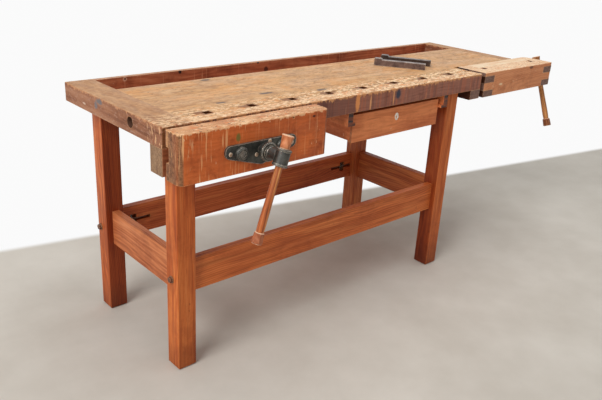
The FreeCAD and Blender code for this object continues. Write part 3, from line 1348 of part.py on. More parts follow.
# ---------------------------------------------------------------------------------------------
# Bench dogs
# ---------------------------------------------------------------------------------------------
def make_dog(prefix, x, y, turn):
    """A steel dog lying on the top, its foot at a point of the bench, with its leaf spring."""
    where = {"x": x, "y": y, "z": "bench_height + free_gap",
             "turn": "rotation(vector(0; 0; 1); %s)" % turn}
    dog = new_body(prefix + "_dog", **where)
    side, neck = "dog_side / 2", "dog_long - dog_head_long"
    pad(dog, "XZ_Plane", [
        ("0", "0"), ("dog_long", "0"), ("dog_long", "dog_head_tall"), (neck, "dog_head_tall"),
        (neck + " - dog_head_ramp", "dog_side"), ("0", "dog_side"),
    ], "-" + side, side)
    soften(dog, "Chamfer", "dog_bevel", {"x": "0"}, {"x": "dog_long"})
    node(dog)
    leaf = new_body(prefix + "_dog_spring", **where)
    fixed, free, bow = "leaf_at", "leaf_at + leaf_long", "-%s - leaf_bow" % side
    pad(leaf, "XY_Plane", [
        (fixed, "-" + side), (fixed + " + leaf_flat", "-" + side), (free, bow),
        (free, bow + " - leaf_thick"), (fixed + " + leaf_flat", "-%s - leaf_thick" % side),
        (fixed, "-%s - leaf_thick" % side),
    ], "(dog_side - leaf_wide) / 2", "(dog_side + leaf_wide) / 2")
    node(leaf)


# ---------------------------------------------------------------------------------------------
# Build everything
# ---------------------------------------------------------------------------------------------
make_top_slab()
make_front_boards()
make_end_caps()
make_tray()
make_cap_bolts()
for leg_side in SIDES:
    for leg_row in LEG_Y:
        make_leg(leg_side, leg_row)
    make_side_frame(leg_side)
for rail_row in RAIL_Y:
    make_long_rail(rail_row)
make_frame_fasteners()
make_fixed_jaw_block()
make_front_chop()
make_chop_plate()
make_guide_rods()
make_screw_collar()
group("chop_plate_screws", [
    make_wood_screw("chop_screw_%d" % turn, {"x": x, "y": "plate_front", "z": z})
    for turn, (x, z) in enumerate(CHOP_SCREWS)])
make_front_screw()
make_front_guide()
make_handle("front", "front_knob_long", {"x": SCREW_AT[0], "y": "front_head_at", "z": SCREW_AT[1]},
            "rotation(vector(0; 1; 0); front_tilt)")
make_tail_front_board()
make_tail_blocks()
make_tail_boards()
make_tail_plate()
make_tail_screw()
make_tail_fixtures()
make_handle("tail", "tail_knob_long", {"x": "tail_hub_at", "y": TAIL_AXIS[0], "z": TAIL_AXIS[1]},
            "rotation(vector(1; 0; 0); -tail_tilt)")
make_drawer()
make_hangers()
make_dog("front", "dog_one_x", "dog_one_y", "dog_one_turn")
make_dog("rear", "dog_two_x", "dog_two_y", "dog_two_turn")
doc.recompute()

for thing in doc.Objects:
    if "Invalid" in thing.State or "Error" in thing.State:
        raise RuntimeError("%s (%s) did not build" % (thing.Label, thing.Name))
for thing in NODES:
    if thing.Shape.isNull() or not thing.Shape.isValid() or not thing.Shape.Solids:
        raise RuntimeError("%s has no valid solid" % thing.Label)

os.makedirs("parts", exist_ok=True)
for thing in NODES:
    thing.Shape.exportStep("parts/%s.step" % thing.Label)
print("%d sub-parts" % len(NODES))
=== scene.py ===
# %% [markdown]
# # A joiner's workbench
# The bench comes packed as a fixed frame: every board, bolt and spindle is already in its place.
# This notebook gives each of them its finish, adds the small trim that a joiner would fit last,
# and lights the whole for a picture. Every length is in metres.

# %% Load the frame
import math

import bmesh
import bpy
from mathutils import Matrix, Vector


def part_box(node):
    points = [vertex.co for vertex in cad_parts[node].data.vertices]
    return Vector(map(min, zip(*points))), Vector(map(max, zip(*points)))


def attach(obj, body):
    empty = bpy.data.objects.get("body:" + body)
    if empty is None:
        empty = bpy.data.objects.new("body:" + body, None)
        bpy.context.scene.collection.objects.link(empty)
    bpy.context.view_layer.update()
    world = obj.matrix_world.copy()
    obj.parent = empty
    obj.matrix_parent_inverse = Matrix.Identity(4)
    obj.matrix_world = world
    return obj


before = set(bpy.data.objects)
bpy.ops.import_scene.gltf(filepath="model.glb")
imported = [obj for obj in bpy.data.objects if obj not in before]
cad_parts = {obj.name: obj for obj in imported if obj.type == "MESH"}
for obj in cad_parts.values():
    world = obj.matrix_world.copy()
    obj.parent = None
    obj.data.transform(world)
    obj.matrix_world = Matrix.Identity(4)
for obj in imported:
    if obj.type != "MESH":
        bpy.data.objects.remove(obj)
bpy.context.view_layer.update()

# %% [markdown]
# A worker measures this bench from its left end, from its front edge and from the floor, so places
# on it are written that way. The origin of the frame is somewhere else, and two nodes tell where.

# %% Places on the bench
LEFT_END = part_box("left_end_cap")[0][0]
FRONT_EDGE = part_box("front_apron")[0][1]
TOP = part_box("top_slab")[1][2]


def spot(along, back, high):
    """A point of the bench: from its left end, from its front edge, above the floor."""
    return Vector((LEFT_END + along, FRONT_EDGE + back, high))


print("left end", round(LEFT_END, 4), "front edge", round(FRONT_EDGE, 4), "top", round(TOP, 4))

# %% [markdown]
# Colours are easier to judge as a painter's chart gives them, from 0 to 255. The shader wants
# linear light, so a small helper turns one into the other.

# %% Colours


def colour(red, green, blue):
    """A chart colour made linear for the shader."""
    def linear(part):
        part = part / 255
        return part / 12.92 if part <= 0.04045 else ((part + 0.055) / 1.055) ** 2.4
    return linear(red), linear(green), linear(blue), 1.0


print("mid grey:", [round(part, 3) for part in colour(128, 128, 128)])

# %% [markdown]
# A finish is a recipe of shader nodes. They could be set out by hand in the node editor, but a
# bench needs nearly fifty recipes that share their steps. So each step becomes one call that adds a
# node and hands back its socket. The first calls only wire nodes together and do sums.

# %% Wiring nodes


class Wiring:
    """Adds nodes to a material's tree and joins their sockets."""

    def __init__(self, name):
        self.material = bpy.data.materials.new(name)
        self.material.use_nodes = True
        self.tree = self.material.node_tree
        self.shader = self.tree.nodes["Principled BSDF"]

    def add(self, kind, **settings):
        """A new node with its settings."""
        node = self.tree.nodes.new("ShaderNode" + kind)
        for name, value in settings.items():
            setattr(node, name, value)
        return node

    def feed(self, socket, value):
        """Join a socket to another, or set it to a plain value."""
        if isinstance(value, bpy.types.NodeSocket):
            self.tree.links.new(value, socket)
        else:
            socket.default_value = value

    def split(self, vector):
        """The three parts of a vector."""
        node = self.add("SeparateXYZ")
        self.feed(node.inputs[0], vector)
        return node.outputs[0], node.outputs[1], node.outputs[2]

    def maths(self, operation, first, second=0.0):
        """One sum on one or two values."""
        node = self.add("Math", operation=operation)
        self.feed(node.inputs[0], first)
        self.feed(node.inputs[1], second)
        return node.outputs[0]

    def times(self, first, second):
        """The product of two values."""
        return self.maths("MULTIPLY", first, second)

    def plus(self, first, second):
        """The sum of two values."""
        return self.maths("ADD", first, second)

    def mixture(self, *parts):
        """The sum of sockets, each with its weight."""
        total = None
        for socket, weight in parts:
            share = self.times(socket, weight)
            total = share if total is None else self.plus(total, share)
        return total

    def move(self, vector, scale, shift=(0, 0, 0), turn=(0, 0, 0)):
        """A vector after it is scaled, turned and shifted."""
        node = self.add("Mapping")
        node.inputs["Rotation"].default_value = turn
        self.feed(node.inputs["Vector"], vector)
        node.inputs["Location"].default_value = shift
        node.inputs["Scale"].default_value = scale
        return node.outputs["Vector"]


print("wiring ready")

# %% [markdown]
# The next calls make patterns. Noise gives clouds, and where its scale is larger along one axis
# the clouds draw out into streaks. A fade turns such a value into a soft edged mask, and a ramp
# turns it into colours. Object coordinates keep a pattern fixed to the wood when a part moves.

# %% Patterns
UP_FROM, UP_TO = 0.35, 0.8


class Patterns(Wiring):
    """Noise, masks and colour ramps on the places of a surface."""

    def __init__(self, name, turn=(0, 0, 0)):
        super().__init__(name)
        places = self.add("TexCoord")
        self.place = self.move(places.outputs["Object"], (1, 1, 1), turn=turn)
        self.x, self.y, self.z = self.split(self.place)
        self.facing = self.split(places.outputs["Normal"])
        self.up = self.fade(self.facing[2], UP_FROM, UP_TO)

    def noise(self, scale, detail=4.0, roughness=0.6, shift=(0, 0, 0), vector=None):
        """Soft noise; scale is how many clouds a metre holds along each axis."""
        if isinstance(scale, (int, float)):
            scale = (scale, scale, scale)
        node = self.add("TexNoise")
        self.feed(node.inputs["Vector"], self.move(vector or self.place, scale, shift))
        node.inputs["Scale"].default_value = 1.0
        node.inputs["Detail"].default_value = detail
        node.inputs["Roughness"].default_value = roughness
        return node.outputs["Fac"]

    def fade(self, value, low, high, start=0.0, end=1.0):
        """A smooth step of a value, from start below low to end above high."""
        node = self.add("MapRange", interpolation_type="SMOOTHSTEP")
        self.feed(node.inputs["Value"], value)
        for name, number in (("From Min", low), ("From Max", high), ("To Min", start), ("To Max", end)):
            node.inputs[name].default_value = number
        return node.outputs["Result"]

    def ramp(self, value, *stops):
        """Colours for a value, from stops of a position and a tint."""
        node = self.add("ValToRGB")
        self.feed(node.inputs["Fac"], value)
        points = node.color_ramp.elements
        while len(points) < len(stops):
            points.new(0.5)
        for point, (position, tint) in zip(points, stops):
            point.position = position
            point.color = tint
        return node.outputs["Color"]


print("upward faces start at", UP_FROM)

# %% [markdown]
# The last calls put the finish together. It keeps three things that every later step changes, as
# a painter would: the colour, the roughness and the height of the surface. Edges matter most for
# wear, so the Bevel node is used as a finder of edges: it tells where its rounded normal and the
# true one differ.

# %% A finish
EDGE_SAMPLES, SOFT_SAMPLES = 6, 4
RIM_SWING = 4


class Finish(Patterns):
    """A material that is put together call by call."""

    tint = rough = height = None

    def paint(self, amount, tint, way="MIX"):
        """Lay a tint over the colour so far."""
        node = self.add("Mix", data_type="RGBA", blend_type=way)
        self.feed(node.inputs["Factor"], amount)
        self.feed(node.inputs[6], self.tint)
        self.feed(node.inputs[7], tint)
        self.tint = node.outputs[2]

    def near(self, centre, size, ragged=0.35, grain=60.0, soft=0.35):
        """1 inside a patch of a given size round a point, 0 outside, with a ragged rim."""
        gap = self.add("VectorMath", operation="SUBTRACT")
        self.feed(gap.inputs[0], self.place)
        gap.inputs[1].default_value = centre
        scaled = self.add("VectorMath", operation="DIVIDE")
        self.feed(scaled.inputs[0], gap.outputs[0])
        scaled.inputs[1].default_value = size
        length = self.add("VectorMath", operation="LENGTH")
        self.feed(length.inputs[0], scaled.outputs[0])
        rim = self.times(self.plus(self.noise(grain, 3), -0.5), ragged * RIM_SWING)
        return self.fade(self.plus(length.outputs["Value"], rim), 1 - soft, 1 + soft, 1.0, 0.0)

    def arris(self, reach=0.004, low=0.02, high=0.25):
        """1 along the edges of a board, 0 on its faces."""
        node = self.add("Bevel", samples=EDGE_SAMPLES)
        node.inputs["Radius"].default_value = reach
        geometry = self.add("NewGeometry")
        turn = self.add("VectorMath", operation="DOT_PRODUCT")
        self.feed(turn.inputs[0], node.outputs["Normal"])
        self.feed(turn.inputs[1], geometry.outputs["Normal"])
        return self.fade(self.maths("SUBTRACT", 1.0, turn.outputs["Value"]), low, high)

    def done(self, bump=0.3, depth=0.001, rounding=0.0015, coat=0.0, coat_rough=0.3,
             metal=0.0, specular=0.25):
        """Wire the colour, roughness and height into the shader and return the material."""
        self.feed(self.shader.inputs["Base Color"], self.tint)
        self.feed(self.shader.inputs["Roughness"], self.rough)
        self.shader.inputs["Coat Weight"].default_value = coat
        self.shader.inputs["Coat Roughness"].default_value = coat_rough
        self.shader.inputs["Metallic"].default_value = metal
        self.shader.inputs["Specular IOR Level"].default_value = specular
        relief = self.add("Bump")
        relief.inputs["Strength"].default_value = bump
        relief.inputs["Distance"].default_value = depth
        self.feed(relief.inputs["Height"], self.height)
        if rounding:
            soft_edge = self.add("Bevel", samples=SOFT_SAMPLES)
            soft_edge.inputs["Radius"].default_value = rounding
            self.feed(relief.inputs["Normal"], soft_edge.outputs["Normal"])
        self.feed(self.shader.inputs["Normal"], relief.outputs["Normal"])
        return self.material


print("edges are found with", EDGE_SAMPLES, "samples")

# %% [markdown]
# A node of the frame comes with a plain material in its slots. The finish takes that place, and
# the mesh is not touched. Single faces could be given a second material, but a mask inside the
# finish does the same and leaves a soft border.

# %% Giving a finish to a node


def wear(nodes, material):
    """Give CAD nodes a finish."""
    for name in nodes:
        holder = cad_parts[name].data.materials
        for index in range(len(holder)):
            holder[index] = material
        if not len(holder):
            holder.append(material)


print("nodes to finish:", len(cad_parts))

# %% [markdown]
# ## Wood
# A plank shows its growth rings as faint wavering lines, its fibres as fine streaks and its pores
# as short dark dashes, and its sawn ends are duller because they drink dirt. The rings come from
# the distance to the heart of the tree and the rest from noise that is stretched along the grain.
# One ramp over their weighted sum keeps the whole within the three tones of the board. A scanned
# plank could be wrapped round each board, but it would repeat, and its ends would not match.

# %% Wood
GRAIN_ORDER = {"x": (0, 1, 2), "y": (1, 2, 0), "z": (2, 0, 1)}
HEART = (0.11, 0.16)
RINGS_PER_METRE = 150
RING_WAVER = 0.14
RING_SHARE, DRIFT_SHARE, STREAK_SHARE, FIBRE_SHARE = 0.09, 0.33, 0.38, 0.20
MIDDLE_OF_BENCH = spot(0.9875, 0.32, 0.8)
RAMP_HALF = 0.115


def start_wood(name, along, tones, seed=0.0, end=None, contrast=1.0, blotch=0.5, pores=0.4,
               ends_from=(0.6, 0.85), turn=(0, 0, 0)):
    """A wood finish up to its plain planed face; marks and wear are laid on afterwards."""
    pale, middle, deep = tones
    finish = Finish(name, turn)
    order = GRAIN_ORDER[along]
    places = (finish.x, finish.y, finish.z)
    joined = finish.add("CombineXYZ")
    for slot, axis in enumerate(order):
        finish.feed(joined.inputs[slot], places[axis])
    shift = (seed * 1.7, seed * 0.31, seed * 0.53)

    def along_grain(scale, detail, roughness):
        return finish.noise(scale, detail, roughness, shift, joined.outputs[0])

    across = finish.plus(places[order[1]], HEART[0] - MIDDLE_OF_BENCH[order[1]])
    up = finish.plus(places[order[2]], HEART[1] - MIDDLE_OF_BENCH[order[2]])
    radius = finish.maths("SQRT", finish.plus(finish.times(across, across), finish.times(up, up)))
    waver = finish.times(finish.plus(along_grain((0.9, 4, 4), 3, 0.5), -0.5), RING_WAVER)
    rings = finish.maths("SINE", finish.times(finish.plus(radius, waver), RINGS_PER_METRE * math.tau))
    drift = along_grain((1.3, 9, 9), 4, 0.6)
    streaks = along_grain((1.6, 58, 58), 5, 0.62)
    fibre = along_grain((9, 400, 400), 3, 0.6)
    tone = finish.mixture((finish.times(finish.plus(rings, 1.0), 0.5), RING_SHARE),
                          (drift, DRIFT_SHARE), (streaks, STREAK_SHARE), (fibre, FIBRE_SHARE))
    half = RAMP_HALF / contrast
    finish.tint = finish.ramp(tone, (0.5 - half, deep), (0.5, middle), (0.5 + half, pale))
    clouds = along_grain((2.4, 8, 8), 5, 0.66)
    finish.paint(finish.fade(clouds, 0.52, 0.70, 0.0, blotch), deep)
    finish.paint(finish.fade(clouds, 0.30, 0.48, blotch * 0.7, 0.0), pale)
    dashes = along_grain((24, 560, 560), 2, 0.5)
    finish.paint(finish.fade(dashes, 0.60, 0.72, 0.0, pores), deep, "MULTIPLY")
    if end:
        ends = finish.fade(finish.maths("ABSOLUTE", finish.facing["xyz".index(along)]), *ends_from)
        sawn = finish.noise((60, 150, 150), 5, 0.72)
        finish.paint(ends, finish.ramp(sawn, (0.36, end[0]), (0.64, end[1])))
    finish.rough = finish.fade(streaks, 0.3, 0.7, 0.64, 0.46)
    finish.height = finish.mixture((streaks, 0.6), (fibre, 0.5))
    return finish


print("tones stay within", RAMP_HALF, "of the middle")

# %% [markdown]
# Wear is laid over the wood in layers, as it came in life: dirt first, then rubbed edges, then
# scratches, dents and chips. Each layer is one helper, so that every board can have its own share.

# %% Layers of wear


def worn_edges(finish, tint, amount=0.8, reach=0.005, patchy=14.0):
    """Edges that hands and tools have rubbed bare, here more and there less."""
    rub = finish.noise(patchy, 5, 0.65)
    edge = finish.times(finish.arris(reach), finish.fade(rub, 0.38, 0.6, 0.1, 1.0))
    finish.paint(finish.times(edge, amount), tint)


def grime(finish, tint, amount=0.5, scale=9.0, low=0.48, high=0.68):
    """Dirt that has gathered in patches."""
    finish.paint(finish.fade(finish.noise(scale, 8, 0.7), low, high, 0.0, amount), tint, "MULTIPLY")


def scratches(finish, stretch, tint, amount=0.5, low=0.66, high=0.74, shift=(0, 0, 0)):
    """Thin marks that run one way; stretch is largest across them."""
    lines = finish.noise(stretch, 2, 0.5, shift)
    finish.paint(finish.fade(lines, low, high, 0.0, amount), tint)


def specks(finish, tint, amount, scale, low=0.64, high=0.70, where=None, shift=(0, 0, 0)):
    """Small dents and chips; they also change the height of the surface."""
    dots = finish.fade(finish.noise(scale, 3, 0.6, shift), low, high)
    if where is not None:
        dots = finish.times(dots, where)
    finish.paint(finish.times(dots, amount), tint)
    finish.height = finish.maths("SUBTRACT", finish.height, dots)


def bare_top(finish, pale, deep, scale):
    """The upper face of a board, planed down to bare wood."""
    finish.paint(finish.up, finish.ramp(finish.noise(scale, 6, 0.68), (0.38, deep), (0.62, pale)))


def chipped_arris(finish, tint, amount=0.85, high=TOP, drop=0.010, ragged=0.06):
    """The upper arris, chipped to pale wood down to a ragged line."""
    swing = finish.plus(finish.noise((70, 70, 30), 5, 0.7), -0.5)
    line = finish.plus(finish.z, finish.times(swing, ragged))
    side_face = finish.fade(finish.facing[2], UP_FROM, UP_TO, amount, 0.0)
    finish.paint(finish.times(finish.fade(line, high - drop, high - drop * 0.3), side_face), tint)


def patches(finish, marks, ragged=0.2, grain=110):
    """Knots, stains and bare spots, each with its centre, its half sizes and its tint."""
    for centre, size, tint in marks:
        finish.paint(finish.near(spot(*centre), size, ragged, grain), tint)


print("layers ready")

# %% [markdown]
# ### The base
# Legs and rails are a warm orange brown, varnished once and hardly touched since. Dirt has
# gathered near the floor and the arrises are a little paler. The rails that face the left have
# faded more than the legs. Parts under the top and at the far right get darker tones, and one side
# of the rear left and the front right leg is darker: both are painted shade. The front rail gets
# lighter tones as painted light. Each board could be finished on its own, but all of them share the
# same layers, so one loop goes over a table of names, grain directions and tones.

# %% Legs and rails
END_GRAIN = (colour(112, 70, 42), colour(154, 104, 68))
LEG_TONES = (colour(216, 122, 60), colour(195, 97, 42), colour(148, 64, 26))
# Painted shade: darker tones for the rear right leg, the right side rail and the top bearers, which stand
# in the shade under the top.
SHADED_FAR_TONES = (colour(204, 122, 70), colour(178, 92, 50), colour(128, 60, 32))
RAIL_TONES = (colour(204, 112, 60), colour(184, 90, 46), colour(142, 64, 34))
# Painted light: lighter tones for the front rail, so that it reads as lit although the top shades it.
FRONT_RAIL_LIT_TONES = (colour(226, 132, 70), colour(208, 110, 54), colour(168, 80, 38))
FADED_TONES = (colour(212, 134, 86), colour(194, 112, 68), colour(158, 84, 50))
PAINTED_SHADE_SIDES = {"rear_left_leg": 1, "front_right_leg": 0}
SPLASH_LOW, SPLASH_HIGH = 0.04, 0.20
base_parts = (("front_left_leg", "z", LEG_TONES), ("rear_left_leg", "z", LEG_TONES),
              ("front_right_leg", "z", LEG_TONES), ("rear_right_leg", "z", SHADED_FAR_TONES),
              ("front_long_rail", "x", FRONT_RAIL_LIT_TONES), ("rear_long_rail", "x", RAIL_TONES),
              ("left_side_rail", "y", FADED_TONES), ("right_side_rail", "y", SHADED_FAR_TONES),
              ("left_top_bearer", "y", SHADED_FAR_TONES), ("right_top_bearer", "y", SHADED_FAR_TONES))
for count, (name, along, tones) in enumerate(base_parts):
    base = start_wood("base_" + name, along, tones, seed=count + 2.3, end=END_GRAIN)
    across = tuple(4 if axis == along else 75 for axis in "xyz")
    scratches(base, across, colour(150, 68, 30), 0.45, 0.50, 0.66)
    scratches(base, across, colour(226, 138, 76), 0.35, 0.54, 0.68, (5, 5, 5))
    grime(base, colour(170, 130, 108), 0.45, 5.0)
    specks(base, colour(104, 56, 32), 0.5, (40, 40, 22), 0.70, 0.76)
    splashed = base.plus(base.z, base.times(base.noise(9), 0.12))
    base.paint(base.fade(splashed, SPLASH_LOW, SPLASH_HIGH, 0.5, 0.0), colour(120, 82, 62), "MULTIPLY")
    # Painted shade: the rear left leg's front face and the front right leg's left face are darkened where
    # the top keeps the light off them.
    if name in PAINTED_SHADE_SIDES:
        shaded = base.fade(base.facing[PAINTED_SHADE_SIDES[name]], -0.8, -0.5, 0.75, 0.0)
        base.paint(shaded, colour(160, 118, 104), "MULTIPLY")
    worn_edges(base, colour(224, 150, 92), 0.5, 0.004)
    wear([name], base.done(bump=0.22, coat=0.06))
print("base parts:", len(base_parts))

# %% [markdown]
# ### The working top
# Oil has darkened the wood round every square hole of the dog row, more on the left side than on
# the right. Eight patches could be set by hand, but the holes repeat, so the fraction of a distance
# finds all of them with one sum.

# %% Stains round the dog holes
FIRST_HOLE, HOLES_APART, HOLE_ROW = 0.197, 0.170, 0.068
STAIN_LONG, STAIN_DEEP, STAIN_LEAN, STAIN_RAGGED = 0.034, 0.019, 0.35, 2.4


def dog_hole_stains(finish, amount=0.8):
    """Dark oiled wood round each hole of the row, longer on its left side."""
    row_start = LEFT_END + FIRST_HOLE - HOLES_APART / 2
    count = finish.times(finish.plus(finish.x, -row_start), 1 / HOLES_APART)
    along = finish.times(finish.plus(finish.maths("FRACT", count), -0.5), HOLES_APART / STAIN_LONG)
    back = finish.times(finish.plus(finish.y, -FRONT_EDGE - HOLE_ROW), 1 / STAIN_DEEP)
    lean = finish.plus(along, STAIN_LEAN)
    gap = finish.maths("SQRT", finish.plus(finish.times(lean, lean), finish.times(back, back)))
    ragged = finish.plus(gap, finish.times(finish.plus(finish.noise(55, 4, 0.7), -0.5), STAIN_RAGGED))
    finish.paint(finish.fade(ragged, 0.7, 1.15, amount, 0.0), colour(128, 78, 46))


print("dog holes every", HOLES_APART, "m from", FIRST_HOLE)

# %% [markdown]
# The front boards, where work is clamped, are bitten all over with small dark pits and torn pale
# fibres. Each bite could be cut into the mesh, but there are thousands. Noise that changes the
# colour and also lowers the surface reads the same.

# %% Bites


def bites(finish, reach=0.16, amount=1.0):
    """Pits and torn fibres on upper faces, thickest along the front edge and to the right."""
    front = finish.fade(finish.y, FRONT_EDGE + reach * 0.4, FRONT_EDGE + reach, 1.0, 0.15)
    right = finish.fade(finish.x, LEFT_END + 0.35, LEFT_END + 0.9, 0.7, 1.0)
    where = finish.times(finish.up, finish.times(front, right))
    specks(finish, colour(255, 222, 180), amount, (50, 95, 95), 0.48, 0.55, where, (3, 1, 2))
    specks(finish, colour(228, 146, 80), 0.75 * amount, (34, 70, 70), 0.56, 0.63, where, (7, 4, 1))
    specks(finish, colour(110, 60, 32), amount, (80, 140, 140), 0.585, 0.63, where, (1, 6, 9))


print("pits and fibres in 3 layers")

# %% [markdown]
# Years of planing, scraping and glue leave a top that is mottled rather than streaky: scrubbed
# grey tan at the back, warmer and oilier towards the front, with clouds of grey brown a few
# centimetres wide. One strong noise would look like marble. Several weak ones, from wide to narrow,
# let the older layers show through as they do on the bench.

# %% The wood of the top
TOP_TONES = (colour(226, 180, 128), colour(207, 156, 104), colour(168, 118, 74))
# Very dark end grain; on the ends that face the tail vise gap this dark is painted shade as well.
TOP_END_AND_GAP_SHADE = (colour(66, 34, 20), colour(104, 62, 38))
SCRUBBED_FROM, SCRUBBED_TO = 0.10, 0.26


def mottled_top(name, seed, reach=0.16):
    """The wood of the working top, with all its clouds, pores and bites."""
    top = start_wood(name, "x", TOP_TONES, seed=seed, end=TOP_END_AND_GAP_SHADE, contrast=0.75, pores=0.5)
    scrubbed = top.fade(top.y, FRONT_EDGE + SCRUBBED_FROM, FRONT_EDGE + SCRUBBED_TO, 0.15, 1.0)
    broad = top.noise((3, 7, 7), 6, 0.7, (seed, 0, 0))
    top.paint(top.times(scrubbed, top.fade(broad, 0.40, 0.60, 0.1, 0.8)), colour(205, 164, 128))
    blots = top.noise((15, 27, 27), 6, 0.74, (seed, 2, 0))
    top.paint(top.fade(blots, 0.48, 0.60, 0.0, 0.62), colour(168, 124, 88))
    warm = top.noise((5, 11, 11), 6, 0.7, (seed, 5, 0))
    top.paint(top.fade(warm, 0.48, 0.60, 0.0, 0.55), colour(222, 158, 96))
    worn = top.noise((9, 20, 20), 6, 0.74, (seed, 8, 0))
    top.paint(top.fade(worn, 0.52, 0.64, 0.0, 0.6), colour(233, 191, 146))
    scratches(top, (4, 170, 170), colour(136, 98, 70), 0.4, 0.64, 0.72)
    specks(top, colour(122, 82, 56), 0.75, (55, 110, 110), 0.62, 0.68)
    bites(top, reach)
    return top


print("top tones:", len(TOP_TONES))

# %% [markdown]
# The slab and the strip in front of it are two boards of the same wood. A few grey marks have
# soaked in, and one of them lies over the seam, so both boards get it at the same place.

# %% The slab and the dog hole strip
STAIN, STAIN_AMOUNT = colour(92, 86, 84), 0.85
SEAM_MARK = ((0.718, 0.120, 0.85), (0.025, 0.011, 0.01))
SLAB_MARKS = (((0.509, 0.174, 0.85), (0.027, 0.010, 0.01)), SEAM_MARK,
              ((0.302, 0.143, 0.85), (0.018, 0.007, 0.01)), ((0.440, 0.440, 0.85), (0.020, 0.012, 0.01)))
DOG_HOLE_SHADE = colour(88, 46, 22)


def ink_marks(finish, marks):
    """Grey marks that soaked in, each with its centre and half sizes."""
    for centre, size in marks:
        soaked = finish.near(spot(*centre), size, 0.3, 90)
        finish.paint(finish.times(soaked, STAIN_AMOUNT), STAIN)


slab = mottled_top("top_slab_wood", 4.0)
ink_marks(slab, SLAB_MARKS)
wear(["top_slab"], slab.done(bump=0.35, specular=0.14))
strip = mottled_top("front_strip_wood", 7.0, 0.2)
ink_marks(strip, [SEAM_MARK])
dog_hole_stains(strip)
# Painted shade: every face of the strip and its hole blocks that does not face up, the walls of the dog
# holes, is painted dark.
strip.paint(strip.fade(strip.facing[2], UP_FROM, UP_TO, 1.0, 0.0), DOG_HOLE_SHADE)
wear(["dog_hole_strip", "dog_hole_blocks"], strip.done(bump=0.45, specular=0.16))
print("grey marks on the slab:", len(SLAB_MARKS))

# %% [markdown]
# ### The front apron
# The lamination along the front is stained a dark purple brown. Hands and planks have chipped its
# upper edge down to bare wood, reddish streaks run down its face where water has, and a few long
# pale scratches cross it from top to bottom. The marks could be painted on an unwrapped board. Here
# a mark is a soft patch with a place and a size, so one row of a table moves it.

# %% The apron
APRON_TONES = (colour(176, 122, 102), colour(158, 104, 86), colour(126, 78, 66))
DARK_PART_ENDS = (0.78, 0.795)
APRON_MARKS = (((0.784, 0.0, 0.820), (0.0105, 0.02, 0.033), colour(228, 148, 88)),
               ((0.851, 0.0, 0.813), (0.0042, 0.02, 0.027), colour(222, 158, 110)),
               ((0.974, 0.0, 0.820), (0.0038, 0.02, 0.030), colour(216, 148, 100)),
               ((0.998, 0.0, 0.826), (0.013, 0.02, 0.018), colour(62, 60, 74)),
               ((0.598, 0.0, 0.80), (0.006, 0.02, 0.006), colour(214, 170, 150)))
apron = start_wood("apron_wood", "x", APRON_TONES, seed=9.1, end=TOP_END_AND_GAP_SHADE, contrast=0.45, blotch=0.3)
scratches(apron, (110, 110, 4), colour(186, 104, 72), 0.5, 0.50, 0.64)
scratches(apron, (60, 60, 3), colour(104, 66, 58), 0.5, 0.48, 0.68, (4, 2, 7))
grime(apron, colour(160, 134, 136), 0.7, 6.0)
dark_part = apron.fade(apron.x, LEFT_END + DARK_PART_ENDS[0], LEFT_END + DARK_PART_ENDS[1], 0.45, 0.0)
apron.paint(dark_part, colour(96, 60, 54))
specks(apron, colour(206, 160, 132), 0.6, (70, 70, 50), 0.68, 0.74)
scratches(apron, (260, 260, 9), colour(214, 150, 108), 0.7, 0.68, 0.72, (9, 1, 3))
bare_top(apron, colour(232, 184, 136), colour(196, 140, 92), (16, 50, 50))
bites(apron, 0.2)
dog_hole_stains(apron)
chipped_arris(apron, colour(222, 158, 104))
worn_edges(apron, colour(226, 166, 112), 0.8, 0.005, 30)
patches(apron, APRON_MARKS, 0.22)
wear(["front_apron"], apron.done(bump=0.4, coat=0.04))
print("apron marks:", len(APRON_MARKS))

# %% [markdown]
# ### End caps
# The caps close the ends of the top. Their outer faces are dark red brown with pinkish grey scuffs
# from things that were carried past, and the bolts sit deep in round counterbores whose walls are
# painted darker as painted shade. These walls could be pieces of their own, but a patch that leaves
# out the outer face darkens them in place.

